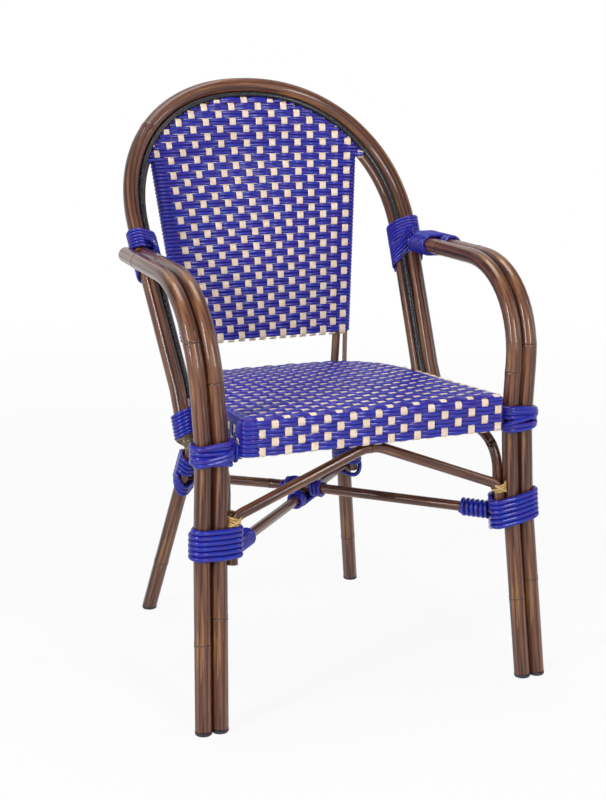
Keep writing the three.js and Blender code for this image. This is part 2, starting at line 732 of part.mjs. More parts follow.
const uprightLine = panelPostLine(UPRIGHT_INSET, UPRIGHT_R);
const rodLine = panelPostLine(ROD_INSET, ROD_R);
const upwards = point(0, 0, 1);
const notchCutters = [];
for (const [name, side] of SIDES) {
  const upright = tube(mirrored(uprightLine, side), UPRIGHT_R, THIN_SIDES, upwards);
  addPiece(`back_upright_${name}`, cut(upright, innerHoopCutter), 'bamboo');
  const rod = tube(mirrored(rodLine, side), ROD_R, THIN_SIDES, upwards);
  addPiece(`back_rod_${name}`, cut(rod, innerHoopCutter), 'bamboo');
  for (const [line, radius] of [[uprightLine, UPRIGHT_R], [rodLine, ROD_R]]) {
    const foot = line[0].clone();
    const below = foot.clone().setZ(foot.z - CUT_OVERRUN);
    const notch = [below, foot, line[1]];
    notchCutters.push(tube(mirrored(notch, side), radius + FIT, THIN_SIDES, upwards));
  }
}

const railZ = PANEL_BOTTOM_Z + RAIL_RISE;
const railY = panelEdgeY(railZ) + PANEL_THICKNESS + PANEL_CLEARANCE + UPRIGHT_R;
const railLimit = panelHalfWidth(railZ) - UPRIGHT_INSET - UPRIGHT_R * (1 + panelSpreadShare);
const railHalfLength = railLimit - FIT;
const railEnds = [point(-railHalfLength, railY, railZ), point(railHalfLength, railY, railZ)];
addPiece('back_bottom_rail', tube(railEnds, UPRIGHT_R, THIN_SIDES), 'bamboo');

addPiece('seat_weave', cut(seatWeave(), ...stubCutters, ...notchCutters), 'weave');

// Struts between the two seat rings
const strutPlaces = STRUT_SHARES.map((share) => ringOutline[Math.round(share * ringOutline.length)]);
strutPlaces.forEach((place, i) => {
  const low = seatPoint(place, lowerRingHeight + RING_R + FIT);
  const high = seatPoint(place, upperRingHeight - RING_R - FIT);
  addPiece(`seat_strut_${i + 1}`, tube([low, high], STRUT_R, THIN_SIDES), 'bamboo');
});

// Arms: a leg that bends into the arm; the outer tube passes the hoop, the inner one is coped to it
const armHeightPost = postAt(ARM_BACK_Z);
const armBack = point(armHeightPost.x + PAIR_SPACING / 2, armHeightPost.y, ARM_BACK_Z);
const hoopCutter = tube(outerHoopLine, (TUBE_R + FIT) * facetRelief, TUBE_SIDES);

function glideStem(radius, length, leanX, leanY) {
  const profile = [
    new THREE.Vector2(0, -CUT_OVERRUN),
    new THREE.Vector2(radius, -CUT_OVERRUN),
    new THREE.Vector2(radius, length),
    new THREE.Vector2(0, length),
  ];
  const stem = new THREE.LatheGeometry(profile, TUBE_SIDES).rotateX(Math.PI / 2);
  return stem.applyMatrix4(new THREE.Matrix4().makeShear(0, 0, 0, 0, leanX, leanY));
}

function glide(leanX, leanY) {
  const foot = [
    new THREE.Vector2(0, 0),
    new THREE.Vector2(TUBE_R - GLIDE_CHAMFER, 0),
    new THREE.Vector2(TUBE_R, GLIDE_CHAMFER),
    new THREE.Vector2(TUBE_R, GLIDE_THICKNESS),
    new THREE.Vector2(0, GLIDE_THICKNESS),
  ];
  const disc = new THREE.LatheGeometry(foot, TUBE_SIDES).rotateX(Math.PI / 2);
  const stem = glideStem(GLIDE_STEM_DIAMETER / 2, GLIDE_STEM_LENGTH, leanX, leanY);
  return join(disc, stem.translate(0, 0, GLIDE_THICKNESS));
}

function addLeg(name, line, place, topDirection, ...cutters) {
  const [low, next] = line;
  const leanX = (next.x - low.x) / (next.z - low.z);
  const leanY = (next.y - low.y) / (next.z - low.z);
  const socket = glideStem(GLIDE_STEM_DIAMETER / 2 + FIT, GLIDE_STEM_LENGTH + FIT, leanX, leanY);
  socket.translate(low.x, low.y, low.z);
  const leg = tube(line, TUBE_R, TUBE_SIDES, upwards, topDirection);
  addPiece(name, cut(leg, socket, ...cutters), 'bamboo');
  const foot = glide(leanX, leanY);
  addPiece(`foot_glide_${place}`, foot.translate(low.x, low.y, 0), 'glide');
}

// A screw in the front of each inner tube, level with the stub
const screwSeat = innerLegAt(stubZ).add(point(0, -TUBE_R - FIT, 0));

function screw() {
  const shankRadius = SCREW_SHANK_DIAMETER / 2;
  const shank = [[0, -SCREW_LENGTH], [shankRadius, -SCREW_LENGTH], [shankRadius, 0]];
  const dome = SCREW_DOME_SHARES.map(([across, up]) => [(across * SCREW_HEAD_DIAMETER) / 2, up * SCREW_HEAD_HEIGHT]);
  const profile = [...shank, ...dome].map(([x, y]) => new THREE.Vector2(x, y));
  return new THREE.LatheGeometry(profile, TUBE_SIDES).rotateX(Math.PI);
}

function screwHole(side) {
  const bottom = screwSeat.clone().add(point(0, SCREW_LENGTH + FIT, 0));
  const top = screwSeat.clone().add(point(0, -FIT, 0));
  return tube(mirrored([bottom, top], side), SCREW_SHANK_DIAMETER / 2 + FIT, TUBE_SIDES);
}

for (const [name, side] of SIDES) {
  const head = screw().translate(screwSeat.x * side, screwSeat.y, screwSeat.z);
  addPiece(`seat_screw_${name}`, head, 'steel');
  for (const [place, offset] of [['outer', PAIR_SPACING / 2], ['inner', -PAIR_SPACING / 2]]) {
    const corners = [...legPairCorners, armBack].map((p) => point(p.x + offset, p.y, p.z));
    const end = corners[corners.length - 1];
    end.x = armHeightPost.x + (place === 'outer' ? PAIR_SPACING : 0);
    if (place === 'outer') {
      end.y += ARM_TAIL;
    }
    const line = mirrored(bentPoints(corners, [0, 0, ARM_BEND_RADIUS]), side);
    const cutters = place === 'inner' ? [hoopCutter, screwHole(side)] : [];
    addLeg(`${name}_${place}_arm_tube`, line, `front_${name}_${place}`, undefined, ...cutters);
  }
}

// Rear legs: straight, raked out and back, from the floor to the seat's lower ring
const rearTopFlat = ringSeatForLeg(SEAT_HALF_WIDTH - REAR_TOP_INSET);
const rearTop = seatPoint(rearTopFlat, -FIT);
const rearFoot = point(SEAT_HALF_WIDTH - REAR_FOOT_INSET, REAR_FOOT_Y, GLIDE_THICKNESS + FIT);
const rearLegLine = [rearFoot, rearTop];
const seatNormal = point(0, -SEAT_SLOPE_SHARE, 1).normalize();
const rearLegAt = (z) => rearFoot.clone().lerp(rearTop, (z - rearFoot.z) / (rearTop.z - rearFoot.z));

function ringSeatForLeg(x) {
  const rear = ringOutline.filter((flat) => flat.y > 0 && flat.x > 0).sort((a, b) => a.x - b.x);
  const index = rear.findIndex((flat) => flat.x > x);
  return rear[index - 1].clone().lerp(rear[index], (x - rear[index - 1].x) / (rear[index].x - rear[index - 1].x));
}

for (const [name, side] of SIDES) {
  const line = mirrored(rearLegLine, side);
  addLeg(`rear_leg_${name}`, line, `rear_${name}`, seatNormal);
}

// Braces: one arch under the front of the seat, and one under each side

const braceReach = TUBE_R + FIT + BRACE_R;

// The front brace's foot lies beside the inner leg tube, the side brace's foot behind them both
function frontBraceAt(z) {
  return innerLegAt(z).add(point(-braceReach, 0, 0));
}

function sideBraceAt(z) {
  const apart = BRACE_DIAMETER + FIT;
  const across = (apart * apart) / (2 * braceReach) - braceReach;
  return innerLegAt(z).add(point(across, Math.sqrt(braceReach * braceReach - across * across), 0));
}

const braceZUnderSeat = (y) => seatLift(y, -FIT - BRACE_R);

function frontBrace() {
  const foot = frontBraceAt(BRACE_TAIL_Z);
  const knee = frontBraceAt(KNEE_Z);
  const bend = frontBraceAt(FRONT_BRACE_BEND_Z);
  const top = point(FRONT_BRACE_TOP_HALF_WIDTH, bend.y, braceZUnderSeat(bend.y));
  const right = [foot, knee, bend, top];
  const corners = [...right, ...mirrored(right, -1).reverse()];
  const radii = [0, FRONT_BRACE_BEND_RADIUS, FRONT_BRACE_TOP_RADIUS];
  return tube(bentPoints(corners, [...radii, ...radii.toReversed()]), BRACE_R, THIN_SIDES);
}

addPiece('front_arch_brace', frontBrace(), 'bamboo');

// The rear end of a side brace lies along the outer front side of the rear leg
const rearLegDirection = rearTop.clone().sub(rearFoot).normalize();
const rearBraceSide = point(REAR_BRACE_OUT_SHARE, -1, 0);
rearBraceSide.addScaledVector(rearLegDirection, -rearBraceSide.dot(rearLegDirection)).normalize();
const rearBraceAt = (z) => rearLegAt(z).addScaledVector(rearBraceSide, braceReach);

function sideBraceCorners() {
  const front = sideBraceAt(SIDE_BRACE_BEND_Z);
  const rear = rearBraceAt(REAR_BRACE_BEND_Z);
  const place = (y) => {
    const share = (y - front.y) / (rear.y - front.y);
    const x = front.x + (rear.x - front.x) * share;
    return point(x, y, braceZUnderSeat(y));
  };
  return [
    sideBraceAt(BRACE_TAIL_Z),
    sideBraceAt(KNEE_Z),
    front,
    place(SIDE_BRACE_FRONT_Y),
    place(SIDE_BRACE_REAR_Y),
    rear,
    rearBraceAt(REAR_BRACE_TAIL_Z),
  ];
}

const sideBraceBends = new Array(4).fill(SIDE_BRACE_BEND_RADIUS);
const sideBraceLine = bentPoints(sideBraceCorners(), [0, ...sideBraceBends], SIDE_BRACE_STEPS);
for (const [name, side] of SIDES) {
  addPiece(`side_arch_brace_${name}`, tube(mirrored(sideBraceLine, side), BRACE_R, THIN_SIDES), 'bamboo');
}

// Stretchers: a low one and a bowed one that rises over it where they cross

function stretcherLine(side, frontZ, rearZ, rise) {
  const [front] = mirrored([sideBraceAt(frontZ)], side);
  const [rear] = mirrored([rearLegAt(rearZ)], -side);
  const cross = front.clone().lerp(rear, front.x / (front.x - rear.x));
  if (rise) {
    cross.z = rise;
  }
  return [front, cross, rear];
}

const lowStretcher = stretcherLine(-1, STRETCHER_FRONT_Z, STRETCHER_REAR_Z);
const bowedCrossZ = lowStretcher[1].z + BRACE_DIAMETER + FIT;
const bowedStretcher = stretcherLine(1, BOWED_STRETCHER_FRONT_Z, BOWED_STRETCHER_REAR_Z, bowedCrossZ);

// Both ends are coped, to the side brace in front and to the rear leg behind
function addStretcher(name, line, side) {
  const braceFoot = [sideBraceAt(BRACE_TAIL_Z - BRACE_DIAMETER), sideBraceAt(KNEE_Z)];
  const braceCutter = tube(mirrored(braceFoot, side), (BRACE_R + FIT) * thinRelief, THIN_SIDES);
  const legCutter = tube(mirrored(rearLegLine, -side), (TUBE_R + FIT) * facetRelief, TUBE_SIDES);
  addPiece(name, cut(tube(line, BRACE_R, THIN_SIDES), braceCutter, legCutter), 'bamboo');
}

addStretcher('low_stretcher', lowStretcher, -1);
addStretcher('bowed_stretcher', bowedStretcher, 1);

// Bindings: one unbroken strand each, wound round the bundle of tubes that it holds. The strand
// runs along the bundle's tangent lines and climbs by its pitch each turn. Where another tube
// enters the joint, the loops part round it and close up again on the far side.

// A frame at a joint: across, backwards, and along the tubes
class JointFrame {
  constructor(origin, along, across) {
    this.origin = origin;
    this.z = along.clone().normalize();
    this.y = this.z.clone().cross(across).normalize();
    this.x = this.y.clone().cross(this.z);
  }

  outOf(place) {
    const world = this.origin.clone().addScaledVector(this.x, place.x);
    return world.addScaledVector(this.y, place.y).addScaledVector(this.z, place.z);
  }

  turned(direction) {
    return point(direction.dot(this.x), direction.dot(this.y), direction.dot(this.z));
  }

  into(world) {
    return this.turned(world.clone().sub(this.origin));
  }
}

// How far the bundle reaches in a direction
function bundleReach(bundle, angle) {
  const reaches = bundle.map(({ x, y, r }) => x * Math.cos(angle) + y * Math.sin(angle) + r);
  return Math.max(...reaches);
}

// The corner where two neighbouring tangent lines of the bundle meet, out at the strand's middle
function bundleCorner(bundle, gap, angle, step) {
  const first = bundleReach(bundle, angle - step / 2) + gap;
  const second = bundleReach(bundle, angle + step / 2) + gap;
  const along = (second - first * Math.cos(step)) / Math.sin(step);
  const corner = point(first, along, 0);
  return corner.applyAxisAngle(upwards, angle - step / 2);
}

// A tube that enters a joint: its middle line in the joint's frame and the room that it takes
function entryFor(frame, origin, direction, radius, settings) {
  const local = frame.turned(direction);
  const flatLength = Math.hypot(local.x, local.y);
  return {
    start: frame.into(origin),
    direction: local,
    flatLength,
    angle: Math.atan2(local.y, local.x),
    radius,
    ...settings,
  };
}

function entryLevelAt(entry, place) {
  const along = (place.x - entry.start.x) * entry.direction.x + (place.y - entry.start.y) * entry.direction.y;
  return entry.start.z + (along * entry.direction.z) / (entry.flatLength * entry.flatLength);
}

// The height of a loop, drawn above or below the entering tube while it passes there
function loopHeight(turn, place, settings, share) {
  const { loops, pitch, radius, entry, tightPitch } = settings;
  const base = pitch * (turn - loops / 2);
  if (!entry) {
    return base;
  }
  const index = Math.round(turn - share);
  const firstAbove = Math.ceil(entry.start.z / pitch + loops / 2 - share);
  const level = entryLevelAt(entry, place);
  const room = ((entry.radius + FIT + radius) * entry.direction.length()) / entry.flatLength;
  const above = Math.max(base, level + room + (index - firstAbove) * tightPitch);
  const below = Math.min(base, level - room - (firstAbove - 1 - index) * tightPitch);
  const target = index >= firstAbove ? above : below;
  const fade = THREE.MathUtils.smoothstep(Math.abs(turn - share - index), entry.holdShare, 1 / 2);
  return THREE.MathUtils.lerp(target, base, fade);
}

// How much of a loop's length the strand has run at each of its steps
function lengthShares(cornerAt, steps) {
  const lengths = [0];
  for (let i = 0; i < steps; i++) {
    lengths.push(lengths[i] + cornerAt(i, 0).distanceTo(cornerAt(i + 1, 0)));
  }
  return lengths.map((length) => length / lengths[steps]);
}

function windingPoints(settings) {
  const { bundleAt, loops, pitch, radius, startAngle, steps, entry } = settings;
  const step = (2 * Math.PI) / steps;
  const cornerAt = (i, h) => bundleCorner(bundleAt(h), radius + FIT, startAngle + i * step, step);
  const shares = lengthShares(cornerAt, steps);
  const turnAt = (i) => {
    const whole = Math.floor(i);
    const within = whole % steps;
    const share = THREE.MathUtils.lerp(shares[within], shares[within + 1], i - whole);
    return Math.floor(i / steps) + share;
  };
  const turns = entry ? (entry.angle - startAngle) / (2 * Math.PI) : 0;
  const entryShare = turnAt((turns - Math.floor(turns)) * steps);
  const points = [];
  for (let i = 0; i <= loops * steps; i++) {
    const turn = turnAt(i);
    const flat = cornerAt(i, pitch * (turn - loops / 2));
    const height = loopHeight(turn, flat, settings, entryShare);
    points.push(cornerAt(i, height).setZ(height));
  }
  return points;
}

// The least distance of the strand to its other turns, from points to the pieces between points
function leastGap(points, radius, steps) {
  let least = Infinity;
  const piece = new THREE.Line3();
  const nearest = point(0, 0, 0);
  for (let i = 0; i < points.length; i++) {
    for (let k = 0; k < points.length - 1; k++) {
      if (Math.min(Math.abs(i - k), Math.abs(i - k - 1)) > steps / 3) {
        piece.set(points[k], points[k + 1]);
        piece.closestPointToPoint(points[i], true, nearest);
        least = Math.min(least, nearest.distanceTo(points[i]));
      }
    }
  }
  return least - 2 * radius;
}

function addBinding(name, side, frame, special) {
  const common = { pitch: STRAND_PITCH, radius: STRAND_R, startAngle: 0, steps: LOOP_STEPS };
  const settings = { ...common, tightPitch: STRAND_DIAMETER + STRAND_GAP, ...special };
  const points = windingPoints(settings).map((place) => frame.outOf(place));
  const gap = leastGap(points, settings.radius, settings.steps);
  console.log(`${name}: least gap to itself ${gap.toFixed(2)} mm`);
  addPiece(name, tube(mirrored(points, side), settings.radius, STRAND_SIDES), 'strand');
}

const outwards = point(1, 0, 0);
const levelFrame = (z) => new JointFrame(point(0, 0, z), upwards, outwards);
const circlesAt = (places, r) => places.map(({ x, y }) => ({ x, y, r }));
const pairAt = (z) => circlesAt([outerLegAt(z), innerLegAt(z)], TUBE_R);

// One end of a stretcher as it enters a joint on the right, or the mirrored one on the left
function stretcherEntry(frame, line, end, side) {
  const [start, next] = mirrored([line[end], line[1]], side);
  const along = next.clone().sub(start);
  return entryFor(frame, start, along, BRACE_R + STRAND_SLACK, { holdShare: NARROW_HOLD_SHARE });
}

// Front joints: low on the legs round both brace feet, and beside the seat round the pair
for (const [name, side] of SIDES) {
  const lowFrame = levelFrame(LOW_BINDING_Z);
  const stretcher = side > 0 ? bowedStretcher : lowStretcher;
  const braceFeetAt = (z) => circlesAt([frontBraceAt(z), sideBraceAt(z)], BRACE_R);
  addBinding(`low_binding_${name}`, side, lowFrame, {
    bundleAt: (h) => [...pairAt(LOW_BINDING_Z + h), ...braceFeetAt(LOW_BINDING_Z + h)],
    loops: LOW_BINDING_LOOPS,
    startAngle: LOW_START_ANGLE,
    entry: stretcherEntry(lowFrame, stretcher, 0, side),
  });
  const seatFrame = levelFrame(SEAT_BINDING_Z);
  const stub = { angle: SEAT_ENTRY_ANGLE, holdShare: SEAT_HOLD_SHARE };
  addBinding(`seat_binding_${name}`, side, seatFrame, {
    bundleAt: (h) => pairAt(SEAT_BINDING_Z + h),
    loops: SEAT_BINDING_LOOPS,
    pitch: SEAT_STRAND_PITCH,
    startAngle: SEAT_START_ANGLE,
    entry: entryFor(seatFrame, innerLegAt(stubZ), outwards.clone().negate(), STUB_R, stub),
  });
}

// Arm joints round both hoops, and thin bindings on the posts beside the seat
const armFrame = new JointFrame(armHeightPost, postAt(SPRING_Z).sub(postAt(POST_KINK_Z)), outwards);
const postFrame = new JointFrame(postAt(POST_BINDING_Z), postAt(POST_KINK_Z).sub(postAt(POST_END_Z)), outwards);
const armEntrySettings = { angle: ARM_ENTRY_ANGLE, holdShare: ARM_HOLD_SHARE };
for (const [name, side] of SIDES) {
  addBinding(`arm_binding_${name}`, side, armFrame, {
    bundleAt: () => [
      { x: 0, y: 0, r: TUBE_R },
      { x: -INNER_HOOP_INWARD, y: INNER_HOOP_BACK, r: INNER_HOOP_R + FIT },
      { x: -PIPING_INWARD, y: 0, r: PIPING_R },
    ],
    loops: ARM_BINDING_LOOPS,
    pitch: ARM_STRAND_PITCH,
    tightPitch: ARM_STRAND_PITCH,
    startAngle: ARM_START_ANGLE,
    entry: entryFor(armFrame, armHeightPost, point(0, -1, 0), TUBE_R, armEntrySettings),
  });
  addBinding(`post_binding_${name}`, side, postFrame, {
    bundleAt: () => [{ x: 0, y: 0, r: TUBE_R }],
    loops: POST_BINDING_LOOPS,
    pitch: THIN_STRAND_PITCH,
    radius: THIN_STRAND_R,
    startAngle: POST_START_ANGLE,
    steps: THIN_LOOP_STEPS,
  });
}

// Rear leg joints, round the leg and the end of the side brace
const rearFrame = new JointFrame(rearLegAt(REAR_BINDING_Z), rearLegDirection, outwards);
const rearBraceOffset = rearFrame.turned(rearBraceSide).multiplyScalar(braceReach);
for (const [name, side] of SIDES) {
  const stretcher = side > 0 ? lowStretcher : bowedStretcher;
  addBinding(`rear_leg_binding_${name}`, side, rearFrame, {
    bundleAt: () => [{ x: 0, y: 0, r: TUBE_R }, ...circlesAt([rearBraceOffset], BRACE_R)],
    loops: REAR_BINDING_LOOPS,
    pitch: REAR_STRAND_PITCH,
    startAngle: REAR_START_ANGLE,
    entry: stretcherEntry(rearFrame, stretcher, 2, side),
  });
}

// Spirals on the front ends of the stretchers
for (const [name, line] of [['low', lowStretcher], ['bowed', bowedStretcher]]) {
  const along = line[1].clone().sub(line[0]).normalize();
  const middle = SPIRAL_START + (SPIRAL_LOOPS * STRAND_PITCH) / 2;
  const spiralFrame = new JointFrame(line[0].clone().addScaledVector(along, middle), along, upwards);
  addBinding(`${name}_stretcher_spiral`, 1, spiralFrame, {
    bundleAt: () => [{ x: 0, y: 0, r: BRACE_R }],
    loops: SPIRAL_LOOPS,
    steps: THIN_LOOP_STEPS,
  });
}

// The lashing where the stretchers cross: their oblique sections slide apart along the frame
const crossPoint = lowStretcher[1].clone().lerp(bowedStretcher[1], 1 / 2);
const crossFrame = new JointFrame(crossPoint, point(0, 1, 0), outwards);
const crossRun = lowStretcher[2].clone().sub(lowStretcher[0]);
const crossSlopeShare = Math.abs(crossRun.x / crossRun.y);
const crossWidening = BRACE_R * (Math.hypot(1, crossSlopeShare) - 1);
const crossRise = (BRACE_DIAMETER + FIT) / 2;
addBinding('crossing_binding', 1, crossFrame, {
  bundleAt: (h) => {
    const bundle = [];
    for (const shift of [-crossWidening, crossWidening]) {
      bundle.push({ x: h * crossSlopeShare + shift, y: crossRise, r: BRACE_R + STRAND_SLACK });
      bundle.push({ x: -h * crossSlopeShare + shift, y: -crossRise, r: BRACE_R + STRAND_SLACK });
    }
    return bundle;
  },
  loops: CROSS_BINDING_LOOPS,
});

// The frame's origin: on the floor, under the middle of the overall box
const bounds = new THREE.Box3().setFromObject(chair);
chair.position.y = -(bounds.min.y + bounds.max.y) / 2;

export default chair;
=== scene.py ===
# A bistro armchair: bent metal tubes painted like bamboo, a seat and a back panel woven from
# blue strands and cream ribbons, and blue strand bindings wound over every joint.
# Sizes are in millimetres, drawn from a point near the posts' feet, and put in metres at the end.
import json
import math

import bpy
import numpy as np
from mathutils import Matrix, Vector

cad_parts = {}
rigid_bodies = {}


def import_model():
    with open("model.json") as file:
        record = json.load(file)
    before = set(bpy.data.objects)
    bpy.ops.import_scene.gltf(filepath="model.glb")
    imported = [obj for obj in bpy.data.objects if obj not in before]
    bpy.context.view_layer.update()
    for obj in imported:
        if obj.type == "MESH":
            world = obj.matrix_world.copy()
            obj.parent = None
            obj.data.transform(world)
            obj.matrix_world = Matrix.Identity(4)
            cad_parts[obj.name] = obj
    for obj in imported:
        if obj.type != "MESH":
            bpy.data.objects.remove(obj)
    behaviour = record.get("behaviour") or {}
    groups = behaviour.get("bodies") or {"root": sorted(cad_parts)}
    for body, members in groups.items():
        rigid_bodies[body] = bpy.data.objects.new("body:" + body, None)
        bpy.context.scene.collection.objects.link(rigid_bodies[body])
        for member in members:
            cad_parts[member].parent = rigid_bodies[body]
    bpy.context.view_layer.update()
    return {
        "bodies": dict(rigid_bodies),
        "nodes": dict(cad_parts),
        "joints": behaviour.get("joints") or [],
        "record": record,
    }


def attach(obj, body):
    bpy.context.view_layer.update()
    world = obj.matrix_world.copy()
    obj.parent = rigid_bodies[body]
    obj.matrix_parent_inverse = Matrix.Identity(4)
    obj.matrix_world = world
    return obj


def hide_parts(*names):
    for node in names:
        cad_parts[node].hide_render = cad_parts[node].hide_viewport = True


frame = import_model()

# ---- The picture ----
# The chair stands on a pale floor between white walls. It is seen from in front of its left side,
# from a little above, and lit by tall narrow lamps at the left, front and right and by a broad one
# overhead.

DRAWN_FORWARD = 15.338
LENS_MM, SENSOR_MM = 68.47, 36
CAMERA_PLACE, CAMERA_WAY = (-0.9452, -2.1930, 0.9640), (0.3839, 0.8953, -0.2259)


def in_metres(points):
    """Puts drawn millimetres in the frame's metres."""
    return (np.asarray(points, float) - (0, DRAWN_FORWARD, 0)) / 1000


def new_object(name, data):
    """Puts a mesh, a lamp or a camera in the scene."""
    thing = bpy.data.objects.new(name, data)
    bpy.context.collection.objects.link(thing)
    return thing


camera_data = bpy.data.cameras.new("photo_camera")
camera_data.lens = LENS_MM
camera_data.sensor_width = SENSOR_MM
camera = new_object("photo_camera", camera_data)
camera.location = CAMERA_PLACE
camera.rotation_euler = Vector(CAMERA_WAY).to_track_quat("-Z", "Y").to_euler()
bpy.context.scene.camera = camera
bpy.context.scene.view_settings.view_transform = "Standard"


def soft_lamp(name, place, target, width, height, power):
    """An area lamp that faces a point."""
    data = bpy.data.lights.new(name, "AREA")
    data.shape = "RECTANGLE"
    data.size = width
    data.size_y = height
    data.energy = power
    lamp = new_object(name, data)
    lamp.location = place
    lamp.rotation_euler = (Vector(target) - Vector(place)).to_track_quat("-Z", "Y").to_euler()


soft_lamp("left_lamp", (-2.6, -1.2, 1.9), (0, 0, 0.5), width=0.3, height=1.8, power=48)
soft_lamp("front_lamp", (0.25, -2.9, 1.9), (0, 0, 0.5), width=0.45, height=1.3, power=30)
soft_lamp("right_lamp", (2.4, -1.2, 1.7), (0, 0, 0.5), width=0.35, height=1.6, power=12)
soft_lamp("top_lamp", (0, 0.4, 3.0), (0, 0, 0.5), width=1.2, height=1.2, power=22)


def set_inputs(node, values):
    """Gives a node's inputs their numbers and colours, or joins them to other nodes."""
    for key, value in values.items():
        if isinstance(value, bpy.types.NodeSocket):
            node.id_data.links.new(value, node.inputs[key])
        else:
            node.inputs[key].default_value = value


def node_adder(tree):
    """A short way to add a node to a tree, which returns the node's first output."""
    def add(kind, values=None, **settings):
        node = tree.nodes.new(kind)
        for key, value in settings.items():
            setattr(node, key, value)
        set_inputs(node, values or {})
        return node.outputs[0]
    return add


def node_kit(name):
    """A new material with its shader and a short way to add nodes."""
    paint = bpy.data.materials.new(name)
    paint.use_nodes = True
    return paint, paint.node_tree.nodes["Principled BSDF"], node_adder(paint.node_tree)


def object_place(add):
    """The place on a piece in its own coordinates."""
    return add("ShaderNodeTexCoord").node.outputs["Object"]


def white_to_the_eye(add, lit, white_share):
    """Mixes plain white into what the camera, gloss and glass see of a shader."""
    path = add("ShaderNodeLightPath").node.outputs
    seen = path["Is Camera Ray"]
    for ray in ("Is Glossy Ray", "Is Transmission Ray"):
        seen = add("ShaderNodeMath", {0: seen, 1: path[ray]}, operation="MAXIMUM")
    share = add("ShaderNodeMath", {0: seen, 1: white_share}, operation="MULTIPLY")
    white = add("ShaderNodeEmission", {"Color": (1, 1, 1, 1)})
    return add("ShaderNodeMixShader", {0: share, 1: lit, 2: white})


world = bpy.data.worlds.new("studio")
world.use_nodes = True
bpy.context.scene.world = world
set_inputs(world.node_tree.nodes["Background"], {"Color": (0.93, 0.95, 1, 1), "Strength": 0.34})


def studio_sheet(name, corners, white_share):
    """A flat pale sheet of the studio: so white near the chair, and wholly white further away."""
    mesh = bpy.data.meshes.new(name)
    mesh.from_pydata(corners, [], [(0, 1, 2, 3)])
    paint, shader, add = node_kit(f"{name}_paint")
    set_inputs(shader, {"Base Color": (0.86, 0.86, 0.86, 1), "Roughness": 0.9})
    away = add("ShaderNodeVectorMath", {0: object_place(add)}, operation="LENGTH")
    share = add("ShaderNodeMapRange", {"Value": away.node.outputs["Value"], "From Min": 0.7, "From Max": 3.2,
                                       "To Min": white_share, "To Max": 1})
    surface = white_to_the_eye(add, shader.outputs[0], share)
    set_inputs(paint.node_tree.nodes["Material Output"], {"Surface": surface})
    mesh.materials.append(paint)
    new_object(name, mesh)


def wall_corners(start, end, height):
    """The corners of a wall over a line on the floor."""
    return [(*start, 0), (*end, 0), (*end, height), (*start, height)]


NEAR_LEFT, NEAR_RIGHT, FAR_RIGHT, FAR_LEFT = (-9, -9), (12, -9), (12, 9), (-9, 9)
BACKDROP_HEIGHT, WALL_HEIGHT = 12, 5
floor_corners = [(*corner, 0) for corner in (NEAR_LEFT, NEAR_RIGHT, FAR_RIGHT, FAR_LEFT)]
studio_sheet("floor", floor_corners, 0.9)
studio_sheet("backdrop", wall_corners(FAR_LEFT, FAR_RIGHT, BACKDROP_HEIGHT), 1)
studio_sheet("left_wall", wall_corners(NEAR_LEFT, FAR_LEFT, WALL_HEIGHT), 1)
studio_sheet("right_wall", wall_corners(NEAR_RIGHT, FAR_RIGHT, WALL_HEIGHT), 1)
studio_sheet("near_wall", wall_corners(NEAR_LEFT, NEAR_RIGHT, WALL_HEIGHT), 1)

# ---- The back hoops ----
# Two bent tubes, one behind the other, run up one side of the back, over the top and down the
# other. They are metal tubes rolled to an arch and painted brown with a bamboo look: a low ring
# with a dark groove every hand's breadth or two, fine dark streaks and tan patches.

TUBE_R = 12.5
INNER_HOOP_R = 10
PIPING_R = 4.2
FIT = 0.3
POST_X, POST_Y = 220.4, -8.5
POST_REFERENCE_Z, POST_END_Z, POST_KINK_Z = 426.8, 378, 452
SPRING_X, SPRING_Z, ARCH_RISE = 238.6, 671.2, 229.6
POST_LEAN, ARCH_LEAN = 0.57, 0.69
ARCH_POWER = 2 / 2.2
ARCH_SWELL = 0.078
HOOP_TILT = math.atan((POST_LEAN + ARCH_LEAN) / 2)
HOOP_BACKWARD = np.array((0, math.cos(HOOP_TILT), -math.sin(HOOP_TILT)))


def spot(x, y, z):
    """One point or direction in drawn millimetres."""
    return np.array((x, y, z), float)


def unit(vector):
    """The same direction, one long."""
    return vector / np.linalg.norm(vector)


def hoop_y(z):
    """How far back the hoop stands at a height: it leans, and leans more over the arch."""
    on_post = min(z, SPRING_Z) - POST_REFERENCE_Z
    return POST_Y + POST_LEAN * on_post + ARCH_LEAN * max(z - SPRING_Z, 0)


def post_at(z):
    """The middle of the right post at a height."""
    spread = (SPRING_X - POST_X) / (SPRING_Z - POST_KINK_Z)
    return spot(POST_X + spread * max(z - POST_KINK_Z, 0), hoop_y(z), z)


def arch_at(angle):
    """The middle of the arch, from 0 at the right spring to half a turn at the left one."""
    rise = ARCH_RISE * abs(math.sin(angle)) ** ARCH_POWER
    swell = ARCH_SWELL * rise * (1 - rise / ARCH_RISE)
    half_width = SPRING_X * abs(math.cos(angle)) ** ARCH_POWER + swell
    z = SPRING_Z + rise
    return spot(math.copysign(half_width, math.cos(angle)), hoop_y(z), z)


